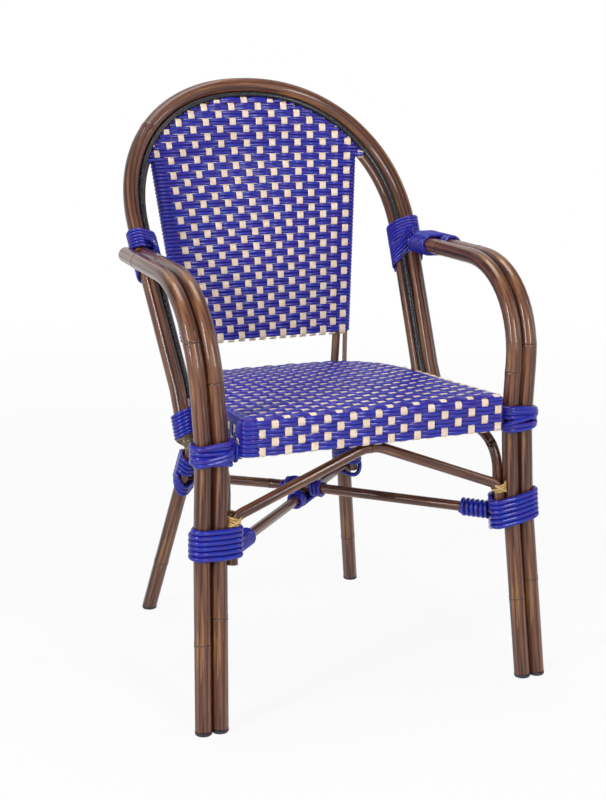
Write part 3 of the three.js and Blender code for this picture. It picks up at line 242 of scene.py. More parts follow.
def hoop_line(low_z, inwards, backwards):
    """A line beside the hoop's middle, moved across it, from one foot over to the other."""
    centres = [post_at(z) for z in np.arange(low_z, POST_KINK_Z, 12)]
    centres += [post_at(z) for z in np.linspace(max(low_z, POST_KINK_Z), SPRING_Z, 14)[:-1]]
    centres += [arch_at(angle) for angle in np.linspace(0, math.pi / 2, 61)]
    half = []
    for i, centre in enumerate(centres):
        before = centres[max(i - 1, 0)]
        after = centres[i + 1] if i + 1 < len(centres) else centres[i - 1] * (-1, 1, 1)
        inward = unit(np.cross(unit(after - before), HOOP_BACKWARD))
        half.append(centre + inward * inwards + HOOP_BACKWARD * backwards)
    return np.array(half + [place * (-1, 1, 1) for place in half[-2::-1]])


def run_lengths(points):
    """How far along its line each point lies."""
    steps = np.linalg.norm(np.diff(points, axis=0), axis=1)
    return np.concatenate(([0], np.cumsum(steps)))


def carried_normals(points, first):
    """A direction across a line, carried along it without twisting."""
    tangents = np.gradient(points, axis=0)
    normals = []
    normal = np.array(first, float)
    for tangent in tangents:
        tangent = unit(tangent)
        normal = unit(normal - tangent * normal.dot(tangent))
        normals.append(normal)
    return np.array(normals)


def ringed_tube(points, rings, radius):
    """A tube's middle line with its bamboo rings: where it swells, and where the groove is."""
    lengths = run_lengths(points)
    near = np.array((-9, -6, -4, -2.4, -1.2, -0.6, 0, 0.6, 1.2, 2.4, 4, 6, 9))
    marks = [mark for ring in rings for mark in ring + near]
    stations = np.unique(np.concatenate((lengths, marks)).clip(0, lengths[-1]))
    line = np.column_stack([np.interp(stations, lengths, points[:, k]) for k in range(3)])
    girth = np.ones(len(stations))
    groove = np.zeros(len(stations))
    for ring in rings:
        away = stations - ring
        girth += (0.7 * np.exp(-(away / 3.6) ** 2) - 0.75 * np.exp(-(away / 0.9) ** 2)) / radius
        groove += np.exp(-(away / 0.9) ** 2)
    return {"points": line, "girth": girth, "mark": groove}


def along_path_tree():
    """Nodes that run a rounded section along every line of a mesh of edges."""
    tree = bpy.data.node_groups.new("section_along_lines", "GeometryNodeTree")
    for name, kind in (("Lines", "Geometry"), ("Width", "Float"), ("Thickness", "Float"),
                       ("Roundness", "Float"), ("Sides", "Int"), ("Finish", "Material")):
        tree.interface.new_socket(name, in_out="INPUT", socket_type=f"NodeSocket{kind}")
    tree.interface.new_socket("Pieces", in_out="OUTPUT", socket_type="NodeSocketGeometry")
    add = node_adder(tree)
    given = tree.nodes.new("NodeGroupInput").outputs

    def attribute(name, kind):
        found = add("GeometryNodeInputNamedAttribute", {"Name": name}, data_type=kind)
        return found.node.outputs["Attribute"]

    def marked(geometry, name, value):
        values = {"Geometry": geometry, "Name": name, "Value": value}
        return add("GeometryNodeStoreNamedAttribute", values, data_type="FLOAT_VECTOR")

    def maths(operation, first, second=0.0):
        return add("ShaderNodeMath", {0: first, 1: second}, operation=operation)

    curve = add("GeometryNodeMeshToCurve", {"Mesh": given["Lines"]})
    facing = attribute("facing", "FLOAT_VECTOR")
    turned = add("GeometryNodeSetCurveNormal", {"Curve": curve, "Normal": facing}, mode="FREE")

    # The section is a circle of radius 1, squared off by the roundness and brought to size
    circle = add("GeometryNodeCurvePrimitiveCircle", {"Radius": 1, "Resolution": given["Sides"]})
    place = add("GeometryNodeInputPosition")
    axes = add("ShaderNodeSeparateXYZ", {0: place}).node.outputs
    halves = {}
    for axis, size in (("X", "Thickness"), ("Y", "Width")):
        reach = maths("POWER", maths("ABSOLUTE", axes[axis]), given["Roundness"])
        signed = maths("MULTIPLY", reach, maths("SIGN", axes[axis]))
        halves[axis] = maths("MULTIPLY", maths("MULTIPLY", signed, given[size]), 0.5)
    sized = add("ShaderNodeCombineXYZ", halves)
    shaped = add("GeometryNodeSetPosition", {"Geometry": circle, "Position": sized})
    section = marked(shaped, "round", place)
    girth = attribute("girth", "FLOAT")
    swept = add("GeometryNodeCurveToMesh", {"Curve": turned, "Profile Curve": section, "Scale": girth,
                                            "Fill Caps": True})

    # A coordinate of the straightened piece: across it, and along it in metres
    across = add("ShaderNodeSeparateXYZ", {0: attribute("round", "FLOAT_VECTOR")}).node.outputs
    run = attribute("run", "FLOAT")
    straight = add("ShaderNodeCombineXYZ", {"X": across["X"], "Y": across["Y"], "Z": run})
    swept = marked(swept, "straight", straight)

    # The sides are smooth, the end caps are flat
    corners = add("GeometryNodeInputMeshFaceNeighbors").node.outputs["Vertex Count"]
    on_side = add("FunctionNodeCompare", {2: corners, 3: 5}, data_type="INT", operation="LESS_THAN")
    smooth = add("GeometryNodeSetShadeSmooth", {"Geometry": swept, "Shade Smooth": on_side})
    real = add("GeometryNodeRealizeInstances", {0: smooth})
    finished = add("GeometryNodeSetMaterial", {"Geometry": real, "Material": given["Finish"]})
    set_inputs(tree.nodes.new("NodeGroupOutput"), {"Pieces": finished})
    return tree


ALONG_PATH = along_path_tree()


def along_lines(name, lines, width, thickness, finish, sides=12, roundness=1.0):
    """Makes one piece of all the lines: tubes, strands or ribbons, in the finish given."""
    points, edges, facing, girth, run, mark, shade = [], [], [], [], [], [], []
    for number, line in enumerate(lines):
        path = np.asarray(line["points"])
        count = len(path)
        first = len(points)
        edges += [(first + i, first + i + 1) for i in range(count - 1)]
        if line.get("closed"):
            edges.append((first + count - 1, first))
        points.extend(in_metres(path))
        across = line.get("facing")
        if across is None:
            start = np.cross(path[1] - path[0], line.get("side", (0.31, 0.52, 0.8)))
            across = carried_normals(path, start)
        facing.extend(across)
        girth.extend(line.get("girth", np.ones(count)))
        run.extend(run_lengths(path) / 1000 + 0.37 * number)
        mark.extend(line.get("mark", np.zeros(count)))
        shade.extend(np.full(count, (number * 0.618) % 1))
    mesh = bpy.data.meshes.new(name)
    mesh.from_pydata(points, edges, [])
    for key, values in (("girth", girth), ("run", run), ("mark", mark), ("shade", shade)):
        layer = mesh.attributes.new(key, "FLOAT", "POINT")
        layer.data.foreach_set("value", np.asarray(values, np.float32))
    layer = mesh.attributes.new("facing", "FLOAT_VECTOR", "POINT")
    layer.data.foreach_set("vector", np.asarray(facing, np.float32).ravel())
    piece = new_object(name, mesh)
    modifier = piece.modifiers.new("along_path", "NODES")
    modifier.node_group = ALONG_PATH
    values = {"Width": width / 1000, "Thickness": thickness / 1000, "Roundness": roundness,
              "Sides": sides, "Finish": finish}
    for item in ALONG_PATH.interface.items_tree:
        if item.in_out == "INPUT" and item.name in values:
            modifier[item.identifier] = values[item.name]
    evaluated = piece.evaluated_get(bpy.context.evaluated_depsgraph_get())
    made = bpy.data.meshes.new_from_object(evaluated)
    piece.modifiers.clear()
    piece.data = made
    made.name = name
    bpy.data.meshes.remove(mesh)
    for key in ("facing", "girth", "round", "run"):
        if key in made.attributes:
            made.attributes.remove(made.attributes[key])
    return piece


def fit_piece(piece, slot, *nodes):
    """The piece moves with the chair and stands for its CAD nodes; its finish slot is not used."""
    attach(piece, "root")
    if nodes:
        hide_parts(*nodes)


def straight_place(add):
    """The place on a piece as it was before it was bent: across it and along it."""
    return add("ShaderNodeAttribute", attribute_name="straight").node.outputs["Vector"]


def stretched(add, place, share, location=(0, 0, 0)):
    """A coordinate whose pattern is drawn out along the piece."""
    return add("ShaderNodeMapping", {"Vector": place, "Location": location, "Scale": (1, 1, share)})


def noise(add, place, scale, detail, roughness=0.5):
    """A cloudy pattern."""
    return add("ShaderNodeTexNoise", {"Vector": place, "Scale": scale, "Detail": detail,
                                      "Roughness": roughness})


def blended(add, share, first, second, blend="MIX"):
    """Two colours mixed, or multiplied."""
    mix = add("ShaderNodeMix", {0: share, 6: first, 7: second}, data_type="RGBA", blend_type=blend)
    return mix.node.outputs[2]


def bumps(add, height, strength, distance):
    """A fine relief from a pattern, with its depth in metres."""
    return add("ShaderNodeBump", {"Height": height, "Strength": strength, "Distance": distance})


def ramp(add, value, *stops):
    """A colour ramp from a value: stops are (place, colour)."""
    out = add("ShaderNodeValToRGB", {"Fac": value})
    band = out.node.color_ramp
    while len(band.elements) < len(stops):
        band.elements.new(0.5)
    for element, (place, colour) in zip(band.elements, stops):
        element.position = place
        element.color = (*colour, 1)
    return out


def grey(level):
    """The same value in all three colours."""
    return (level, level, level)


def grained(add, pattern, low, high, strength, distance):
    """Roughness and relief from one pattern, for a shader's inputs."""
    return {"Roughness": ramp(add, pattern, (0.3, grey(low)), (0.7, grey(high))),
            "Normal": bumps(add, pattern, strength, distance)}


def bamboo_paint(name, bent=True):
    """Brown paint with long dark streaks, tan patches and a dark groove at each ring."""
    paint, shader, add = node_kit(name)
    place = straight_place(add) if bent else object_place(add)
    streak = noise(add, stretched(add, place, 0.015), 260, 4, 0.6)
    patch = noise(add, stretched(add, place, 0.06), 130, 4, 0.55)
    shade = noise(add, stretched(add, place, 0.1, (3, 1, 2)), 70, 3)
    brown = ramp(add, streak, (0.38, (0.024, 0.008, 0.005)), (0.46, (0.09, 0.027, 0.014)),
                 (0.54, (0.165, 0.056, 0.028)), (0.66, (0.27, 0.115, 0.06)))
    tan = ramp(add, streak, (0.3, (0.2, 0.075, 0.02)), (0.6, (0.46, 0.22, 0.07)),
               (0.85, (0.6, 0.33, 0.13)))
    where_tan = ramp(add, patch, (0.58, grey(0)), (0.7, grey(0.85)))
    dusk = ramp(add, shade, (0.3, grey(0.7)), (0.7, grey(1.05)))
    colour = blended(add, 1, blended(add, where_tan, brown, tan), dusk, "MULTIPLY")
    if bent:
        groove = add("ShaderNodeAttribute", attribute_name="mark").node.outputs["Fac"]
        depth = add("ShaderNodeMath", {0: groove, 1: 0.85}, operation="MULTIPLY")
        colour = blended(add, depth, colour, (0.02, 0.009, 0.006, 1))
    set_inputs(shader, {"Base Color": colour, **grained(add, streak, 0.42, 0.26, 0.12, 0.0006),
                        "Specular IOR Level": 0.3, "Coat Weight": 0.5, "Coat Roughness": 0.06})
    return paint


BAMBOO = bamboo_paint("bamboo_look_paint")


def bamboo_tube(name, node, points, radius, sides, rings=(), **more):
    """A round tube in the bamboo look along a line, in place of its CAD node."""
    line = ringed_tube(points, rings, radius) if rings else {"points": points}
    piece = along_lines(name, [{**line, **more}], 2 * radius, 2 * radius, BAMBOO, sides=sides)
    fit_piece(piece, "bamboo_look_tube", node)


outer_line = hoop_line(POST_END_Z, 0, 0)
bamboo_tube("outer_back_hoop_tube", "outer_back_hoop", outer_line, TUBE_R, 28, rings=(310, 965, 1500))

SEAT_BOTTOM_Z, SEAT_HEIGHT, SEAT_CROWN, SEAT_SLOPE = 400, 57, 5, -0.051
SEAT_FRONT_Y, SEAT_REAR_Y, SEAT_TAPER_Y = -254, 189, -60
INNER_HOOP_INWARD, INNER_HOOP_BACK, PIPING_INWARD = 17.4, 14.6, 16.9
INNER_HOOP_DROP, PIPING_DROP = 18, 22


def seat_z(y, height):
    """The seat's height at a depth: it falls a little to the back."""
    return SEAT_BOTTOM_Z + height + SEAT_SLOPE * (y - SEAT_FRONT_Y)


hoop_foot_z = seat_z(hoop_y(POST_KINK_Z), SEAT_HEIGHT + SEAT_CROWN) + FIT
inner_line = hoop_line(hoop_foot_z + INNER_HOOP_R - INNER_HOOP_DROP, INNER_HOOP_INWARD, INNER_HOOP_BACK)
bamboo_tube("inner_back_hoop_tube", "inner_back_hoop", inner_line, INNER_HOOP_R, 24, rings=(270, 1100))

# ---- The piping ----
# A round black plastic cord fills the groove between the two hoops, pressed in from the front
# along the arch and down both posts, and held there by the arm bindings.

PIPING_PAINT, shader, add = node_kit("black_piping_plastic")
wear = noise(add, straight_place(add), 240, 4)
black = ramp(add, wear, (0.3, (0.008, 0.009, 0.011)), (0.75, (0.03, 0.033, 0.04)))
set_inputs(shader, {"Base Color": black, **grained(add, wear, 0.2, 0.36, 0.15, 0.0004)})

piping_line = hoop_line(hoop_foot_z + TUBE_R - PIPING_DROP, PIPING_INWARD, 0)
piping = along_lines("hoop_piping_cord", [{"points": piping_line}], 2 * PIPING_R, 2 * PIPING_R,
                     PIPING_PAINT, sides=16)
fit_piece(piping, "piping", "hoop_piping")

# ---- The front legs and arms ----
# Each side has a pair of tubes, one beside the other: they stand on the floor, lean in to the
# seat, rise to the arm and bend back to the hoop. The outer one passes the hoop's post, the
# inner one ends against it.

PAIR_SPACING = 25.3
FOOT_Z = 5.3
KNEE_Z = 275.5
LEG_CORNERS = (spot(265.4, -258.7, FOOT_Z), spot(253.1, -229, KNEE_Z),
               spot(247.8, -226.1, 410.3), spot(261.4, -221.9, 640.2))
ARM_BEND_RADIUS, ARM_BACK_Z, ARM_TAIL = 148, 645.9, 5
EASE_REACH = 5
SIDES = (("left", -1), ("right", 1))


def mirrored(points, side):
    """The same points on the right, or on the left."""
    return np.asarray(points) * (side, 1, 1)


def leg_pair_at(z):
    """The middle of the pair at a height below the arm's bend."""
    heights = [corner[2] for corner in LEG_CORNERS]
    return spot(*(np.interp(z, heights, [corner[k] for corner in LEG_CORNERS]) for k in range(2)), z)


def outer_leg_at(z):
    """The middle of the right outer leg tube at a height."""
    return leg_pair_at(z) + (PAIR_SPACING / 2, 0, 0)


def inner_leg_at(z):
    """The middle of the right inner leg tube at a height."""
    return leg_pair_at(z) - (PAIR_SPACING / 2, 0, 0)


def bent_line(corners, radii, steps=14):
    """Straight runs with true arcs between them, or with a slight ease where the radius is 0."""
    points = [corners[0]]
    for i in range(1, len(corners) - 1):
        corner, radius = corners[i], radii[i - 1]
        back, ahead = unit(corners[i - 1] - corner), unit(corners[i + 1] - corner)
        opening = math.acos(max(-1, min(1, back.dot(ahead))))
        if radius == 0:
            start, end = corner + back * EASE_REACH, corner + ahead * EASE_REACH
            for share in np.linspace(0, 1, 5):
                rest = 1 - share
                points.append(rest * rest * start + 2 * share * rest * corner + share * share * end)
            continue
        reach = radius / math.tan(opening / 2)
        centre = corner + unit(back + ahead) * radius / math.sin(opening / 2)
        start, end = corner + back * reach - centre, corner + ahead * reach - centre
        sweep = math.pi - opening
        for share in np.linspace(0, 1, steps + 1):
            spoke = start * math.sin((1 - share) * sweep) + end * math.sin(share * sweep)
            points.append(centre + spoke / math.sin(sweep))
    points.append(corners[-1])
    return np.array(points)


arm_post = post_at(ARM_BACK_Z)
ARM_RINGS = {("left", "outer"): (127, 560, 850), ("left", "inner"): (163, 505, 810),
             ("right", "outer"): (150, 520, 740), ("right", "inner"): (122, 480, 815)}
for name, side in SIDES:
    for place, sign, post_gap, tail in (("outer", 1, PAIR_SPACING, ARM_TAIL), ("inner", -1, 0, 0)):
        corners = [corner + (sign * PAIR_SPACING / 2, 0, 0) for corner in LEG_CORNERS]
        corners.append(spot(arm_post[0] + post_gap, arm_post[1] + tail, ARM_BACK_Z))
        line = mirrored(bent_line(corners, (0, 0, ARM_BEND_RADIUS)), side)
        bamboo_tube(f"{name}_{place}_arm_and_leg", f"{name}_{place}_arm_tube", line, TUBE_R, 28,
                    rings=ARM_RINGS[name, place])

# ---- The rear legs ----
# Two straight tubes, raked outwards and backwards, run from the floor up to the seat's frame.
# They have the same thickness and the same bamboo look as the front legs.

REAR_FOOT = spot(195, 259, FOOT_Z)
REAR_TOP = spot(125.5, 157.94, 378.69)


def rear_leg_at(z):
    """The middle of the right rear leg at a height."""
    return REAR_FOOT + (REAR_TOP - REAR_FOOT) * (z - REAR_FOOT[2]) / (REAR_TOP[2] - REAR_FOOT[2])


for name, side in SIDES:
    line = mirrored(np.linspace(REAR_FOOT, REAR_TOP, 12), side)
    bamboo_tube(f"rear_leg_{name}_tube", f"rear_leg_{name}", line, TUBE_R, 28, rings=(92, 330))

# ---- The braces and stretchers ----
# Thinner tubes tie the legs: an arch under the front of the seat, an arch under each side, and
# two stretchers that cross below the seat, the one bowed over the other.

BRACE_R = 8
BRACE_REACH = TUBE_R + FIT + BRACE_R
BRACE_TAIL_Z, REAR_TAIL_Z = 241, 240
FRONT_BEND_Z, SIDE_FRONT_BEND_Z, SIDE_REAR_BEND_Z = 309, 350, 318
SIDE_TOP_FRONT_Y, SIDE_TOP_REAR_Y = -182, 128
FRONT_KNEE_BEND, FRONT_TOP_BEND, SIDE_BEND, BOWED_BEND = 24, 55, 60, 400
LOW_FRONT_Z, LOW_REAR_Z, BOWED_FRONT_Z, BOWED_REAR_Z = 254, 240.6, 262, 254


def front_brace_at(z):
    """The front arch's foot lies beside the inner leg tube."""
    return inner_leg_at(z) - (BRACE_REACH, 0, 0)


def side_brace_at(z):
    """The side arch's foot lies behind the inner leg tube and the front arch's foot."""
    across = (2 * BRACE_R + FIT) ** 2 / (2 * BRACE_REACH) - BRACE_REACH
    return inner_leg_at(z) + (across, math.sqrt(BRACE_REACH ** 2 - across ** 2), 0)


def under_seat_z(y):
    """The middle of a brace that lies against the seat's underside at a depth."""
    return seat_z(y, -FIT - BRACE_R)


front_bend = front_brace_at(FRONT_BEND_Z)
front_half = [front_brace_at(BRACE_TAIL_Z), front_brace_at(KNEE_Z), front_bend,
              spot(12, front_bend[1], under_seat_z(front_bend[1]))]
front_corners = front_half + [corner * (-1, 1, 1) for corner in front_half[::-1]]
front_radii = (0, FRONT_KNEE_BEND, FRONT_TOP_BEND)
front_line = bent_line(front_corners, front_radii + front_radii[::-1])
bamboo_tube("front_arch", "front_arch_brace", front_line, BRACE_R, 24, rings=(300,))

rear_direction = unit(REAR_TOP - REAR_FOOT)
rear_side = spot(0.5, -1, 0)
rear_side = unit(rear_side - rear_direction * rear_side.dot(rear_direction))


def rear_brace_at(z):
    """The side arch's rear foot lies along the rear leg, on its outer front side."""
    return rear_leg_at(z) + rear_side * BRACE_REACH


front_end, rear_end = side_brace_at(SIDE_FRONT_BEND_Z), rear_brace_at(SIDE_REAR_BEND_Z)


def side_arch_at(y):
    """The side arch under the seat at a depth."""
    share = (y - front_end[1]) / (rear_end[1] - front_end[1])
    return spot(front_end[0] + (rear_end[0] - front_end[0]) * share, y, under_seat_z(y))


side_corners = [side_brace_at(BRACE_TAIL_Z), side_brace_at(KNEE_Z), front_end,
                side_arch_at(SIDE_TOP_FRONT_Y), side_arch_at(SIDE_TOP_REAR_Y), rear_end,
                rear_brace_at(REAR_TAIL_Z)]
side_line = bent_line(side_corners, (0,) + 4 * (SIDE_BEND,))
for name, side in SIDES:
    bamboo_tube(f"side_arch_{name}", f"side_arch_brace_{name}", mirrored(side_line, side), BRACE_R, 24,
                rings=(240,))


def stretcher_line(side, front_z, rear_z, cross_z=None):
    """A stretcher from a side arch's foot in front to the other side's rear leg."""
    front, rear = side_brace_at(front_z) * (side, 1, 1), rear_leg_at(rear_z) * (-side, 1, 1)
    cross = front + (rear - front) * front[0] / (front[0] - rear[0])
    if cross_z is not None:
        cross[2] = cross_z
    return [front, cross, rear]


low_ends = stretcher_line(-1, LOW_FRONT_Z, LOW_REAR_Z)
bowed_ends = stretcher_line(1, BOWED_FRONT_Z, BOWED_REAR_Z, low_ends[1][2] + 2 * BRACE_R + FIT)
for name, ends, bend, ring in (("low_stretcher", low_ends, 0, 330),
                               ("bowed_stretcher", bowed_ends, BOWED_BEND, 390)):
    bamboo_tube(f"{name}_tube", name, bent_line(ends, (bend,)), BRACE_R, 24, rings=(ring,))

# ---- The foot glides ----
# A round cap of dark plastic closes the lower end of each leg tube and keeps the metal off the
# floor.

GLIDE_PAINT, shader, add = node_kit("dark_glide_plastic")
scuff = noise(add, object_place(add), 90, 4)
grain = noise(add, object_place(add), 900, 3)
dark = ramp(add, scuff, (0.35, (0.012, 0.013, 0.015)), (0.7, (0.045, 0.046, 0.05)))
set_inputs(shader, {"Base Color": dark,
                    "Roughness": ramp(add, scuff, (0.3, grey(0.45)), (0.7, grey(0.65))),
                    "Normal": bumps(add, grain, 0.2, 0.0003)})


def turned_piece(name, profile, steps, finish):
    """A body turned round the upright axis: profile is (radius, height), from end to end."""
    points, faces = [], []
    for radius, height in np.array(profile) / 1000:
        for i in range(steps):
            angle = 2 * math.pi * i / steps
            points.append((radius * math.cos(angle), radius * math.sin(angle), height))
    for row in range(len(profile) - 1):
        for i in range(steps):
            k = (i + 1) % steps
            low, high = row * steps, (row + 1) * steps
            faces.append((low + i, low + k, high + k, high + i))
    faces.append(tuple(range(steps))[::-1])
    faces.append(tuple(range((len(profile) - 1) * steps, len(profile) * steps)))
    mesh = bpy.data.meshes.new(name)
    mesh.from_pydata(points, [], faces)
    mesh.polygons.foreach_set("use_smooth", [len(face.vertices) == 4 for face in mesh.polygons])
    mesh.materials.append(finish)
    return new_object(name, mesh)


GLIDE_PROFILE = ((11, 0), (11.6, 0.2), (12.3, 0.9), (12.7, 2), (12.8, 3.6), (12.8, 4.8), (12.6, 5.3),
                 (11.5, 5.5))
for name, side in SIDES:
    feet = {f"front_{name}_outer": outer_leg_at(FOOT_Z), f"front_{name}_inner": inner_leg_at(FOOT_Z),
            f"rear_{name}": REAR_FOOT}
    for place, foot in feet.items():
        cap = turned_piece(f"glide_{place}", GLIDE_PROFILE, 32, GLIDE_PAINT)
        cap.data.transform(Matrix.Translation(in_metres(foot * (side, 1, 0))))
        fit_piece(cap, "glide", f"foot_glide_{place}")

# ---- The seat frame ----
# Inside the weave two tube rings, joined by struts, carry the seat, and a stub tube on each side
# reaches from the lower ring to the inner front leg tube.

SEAT_HALF_WIDTH, SEAT_REAR_HALF_WIDTH, SEAT_CORNER_R, SEAT_STRAIGHT_Y = 212, 202.9, 14, -212
RING_R, RING_INSET, RING_BEND_R = 8, 12.3, 20
STUB_R, STUB_END_X, STUB_Y = 6, 198.6, -226.1


def seat_outline(corner):
    """The right half of the seat's outline seen from above, from front to rear."""
    corner_x, corner_y = SEAT_HALF_WIDTH - corner, SEAT_FRONT_Y + corner
    line = [(x, SEAT_FRONT_Y) for x in np.linspace(0, corner_x, 40)[:-1]]
    for angle in np.linspace(-math.pi / 2, 0, 13):
        line.append((corner_x + corner * math.cos(angle), corner_y + corner * math.sin(angle)))
    line.append((SEAT_HALF_WIDTH, SEAT_STRAIGHT_Y))
    line += [(SEAT_HALF_WIDTH + (SEAT_REAR_HALF_WIDTH - SEAT_HALF_WIDTH) * share,
              SEAT_STRAIGHT_Y + (SEAT_TAPER_Y - SEAT_STRAIGHT_Y) * share)
             for share in np.linspace(0, 1, 12)[1:]]
    line += [(SEAT_REAR_HALF_WIDTH, y) for y in np.linspace(SEAT_TAPER_Y, 0, 5)[1:-1]]
    for angle in np.linspace(0, math.pi / 2, 60):
        line.append((SEAT_REAR_HALF_WIDTH * math.cos(angle) ** (2 / 3),
                     SEAT_REAR_Y * math.sin(angle) ** (2 / 3)))
    return np.array(line)


def moved_in(line, distance):
    """Half of an outline moved inwards by the same distance all along."""
    steps = np.gradient(line, axis=0)
    inward = np.stack((-steps[:, 1], steps[:, 0]), 1)
    inward[0], inward[-1] = (0, 1), (0, -1)
    return line + inward / np.linalg.norm(inward, axis=1)[:, None] * distance


ring_half = moved_in(seat_outline(RING_BEND_R + RING_INSET), RING_INSET)
ring_flat = np.vstack((ring_half, ring_half[-2:0:-1] * (-1, 1)))
for name, height in (("seat_upper_ring", SEAT_HEIGHT - RING_INSET), ("seat_lower_ring", RING_R)):
    ring = np.array([spot(x, y, seat_z(y, height)) for x, y in ring_flat])
    bamboo_tube(f"{name}_tube", name, ring, RING_R, 16, closed=True, side=(0, 0, 1))

stub_z = seat_z(STUB_Y, RING_R)
stub_ends = spot(STUB_END_X, STUB_Y, stub_z), inner_leg_at(stub_z) - (TUBE_R, 0, 0)
for name, side in SIDES:
    stub_line = mirrored(np.linspace(*stub_ends, 5), side)
    bamboo_tube(f"seat_stub_{name}_tube", f"seat_stub_{name}", stub_line, STUB_R, 20)

# The struts keep their CAD shape and take the same paint
STRUT_PAINT = bamboo_paint("bamboo_look_strut_paint", bent=False)
for number in range(1, 7):
    strut = bpy.data.objects[f"seat_strut_{number}"]
    for slot in strut.material_slots:
        slot.link = "OBJECT"
        slot.material = STRUT_PAINT

# ---- The seat screws ----
# A domed steel screw sits in the front of each inner leg tube, at the height of the seat's lower
# ring. Only the right one shows in the picture, and the left one mirrors it.

STEEL, shader, add = node_kit("screw_steel")
brushed = noise(add, object_place(add), 1400, 3)
bright = ramp(add, brushed, (0.3, grey(0.1)), (0.7, grey(0.28)))
set_inputs(shader, {"Base Color": bright, "Metallic": 1, **grained(add, brushed, 0.22, 0.4, 0.1, 0.0002)})
SCREW_PROFILE = ((2.5, -9), (2.5, 0), (4.5, 0), (4.4, 0.9), (3.8, 1.8), (2.6, 2.4), (1.6, 2.6), (1.4, 1.3))
lying = Matrix.Rotation(math.pi / 2, 4, "X")
screw_seat = inner_leg_at(stub_z) - (0, TUBE_R + FIT, 0)
for name, side in SIDES:
    screw = turned_piece(f"seat_screw_{name}_domed", SCREW_PROFILE, 24, STEEL)
    screw.data.transform(Matrix.Translation(in_metres(screw_seat * (side, 1, 1))) @ lying)
    fit_piece(screw, "steel", f"seat_screw_{name}")

# ---- The back frame ----
# Behind the woven panel stand two upright tubes with a thin rod beside each. They rise from the
# rear of the seat's upper ring to the inner hoop, and a rail joins them at the panel's lower edge.

PANEL_BOTTOM_Z, PANEL_SHOULDER_Z = 482, 771
PANEL_BOTTOM_HALF, PANEL_SHOULDER_HALF = 150.4, 181.4
PANEL_SPREAD = (PANEL_SHOULDER_HALF - PANEL_BOTTOM_HALF) / (PANEL_SHOULDER_Z - PANEL_BOTTOM_Z)
PANEL_EDGE_Y, PANEL_EDGE_LEAN, PANEL_MIDDLE_LEAN, PANEL_BOW_RADIUS = 174.1, 0.157, 0.17, 1644
PANEL_THICKNESS, PANEL_GAP = 3.5, 0.8
ARCH_READ_Z = 777
RAIL_RISE = 10
UPRIGHT_R, UPRIGHT_INSET = 7, 19.4
ROD_R, ROD_INSET = 4, 4.5

arch_line = hoop_line(POST_KINK_Z, PIPING_INWARD + PIPING_R + FIT, 0.7)
arch_right = arch_line[:len(arch_line) // 2 + 1]


def panel_half(z):
    """Half of the panel's width between its side rods at a height."""
    return PANEL_BOTTOM_HALF + PANEL_SPREAD * (z - PANEL_BOTTOM_Z)


def panel_edge_y(z):
    """Depth of the panel's front face at its side rods at a height."""
    return PANEL_EDGE_Y + PANEL_EDGE_LEAN * (z - PANEL_BOTTOM_Z)


def panel_reach(z):
    """Half width and depth of the weave's edge: above the shoulder it fills the arch."""
    if z <= PANEL_SHOULDER_Z:
        return panel_half(z), panel_edge_y(z)
    height = max(z, ARCH_READ_Z)
    return tuple(float(np.interp(height, arch_right[:, 2], arch_right[:, k])) for k in range(2))


def panel_y(x, z):
    """Depth of the panel's front face: hollow across, running forward to the hoop at the arch."""
    half, edge_y = panel_reach(z)
    rise = z - PANEL_BOTTOM_Z
    middle_y = PANEL_EDGE_Y + PANEL_MIDDLE_LEAN * rise + rise * rise / (2 * PANEL_BOW_RADIUS)
    climb = max(z - PANEL_SHOULDER_Z, 0) / (SPRING_Z + ARCH_RISE - 2 * TUBE_R - PANEL_SHOULDER_Z)
    plain = min(half, panel_half(z))
    plain_y = panel_edge_y(z) if half > plain else edge_y
    if abs(x) > plain and half > plain:
        return plain_y + (edge_y - plain_y) * (abs(x) - plain) / (half - plain)
    hollow = max(middle_y - plain_y, 0) * max(1 - climb * climb, 0)
    return plain_y + hollow * max(1 - (x / plain) ** 2, 0)


def smoothed(points, rounds=3):
    """Cuts a line's corners a few times and keeps its ends."""
    line = np.asarray(points, float)
    for _ in range(rounds):
        near, far = line[:-1] * 0.75 + line[1:] * 0.25, line[:-1] * 0.25 + line[1:] * 0.75
        line = np.vstack((line[:1], np.stack((near, far), 1).reshape(-1, line.shape[1]), line[-1:]))
    return line


rear_ring = np.array(sorted((x, y) for x, y in ring_flat if y > 0 and x >= 0))


def panel_post(inset, radius):
    """The middle line of an upright or rod on the right."""
    depth = PANEL_THICKNESS + PANEL_GAP + radius
    foot_x = panel_half(PANEL_BOTTOM_Z) - inset - PANEL_SPREAD * (PANEL_BOTTOM_Z - SEAT_BOTTOM_Z)
    foot_y = float(np.interp(foot_x, rear_ring[:, 0], rear_ring[:, 1])) + RING_R + FIT + radius
    line = [spot(foot_x, foot_y, seat_z(foot_y, SEAT_HEIGHT - RING_INSET - RING_R))]
    for z in np.linspace(PANEL_BOTTOM_Z, PANEL_SHOULDER_Z, 5):
        x = panel_half(z) - inset
        line.append(spot(x, panel_y(x, z) + depth, z))
    bend_x = line[-1][0]
    upper = inner_line[len(inner_line) // 4:len(inner_line) // 2]
    top = upper[np.argmin(abs(upper[:, 0] - bend_x - 2 * ROD_R) + (upper[:, 2] < SPRING_Z + 40) * 1000)]
    middle = (line[-1] + top) / 2
    middle[1] = panel_y(middle[0], middle[2]) + depth * 1.18
    return smoothed(line + [middle, top])


for name, side in SIDES:
    for part, inset, radius in (("upright", UPRIGHT_INSET, UPRIGHT_R), ("rod", ROD_INSET, ROD_R)):
        post_line = mirrored(panel_post(inset, radius), side)
        bamboo_tube(f"back_{part}_{name}_tube", f"back_{part}_{name}", post_line, radius, 20)

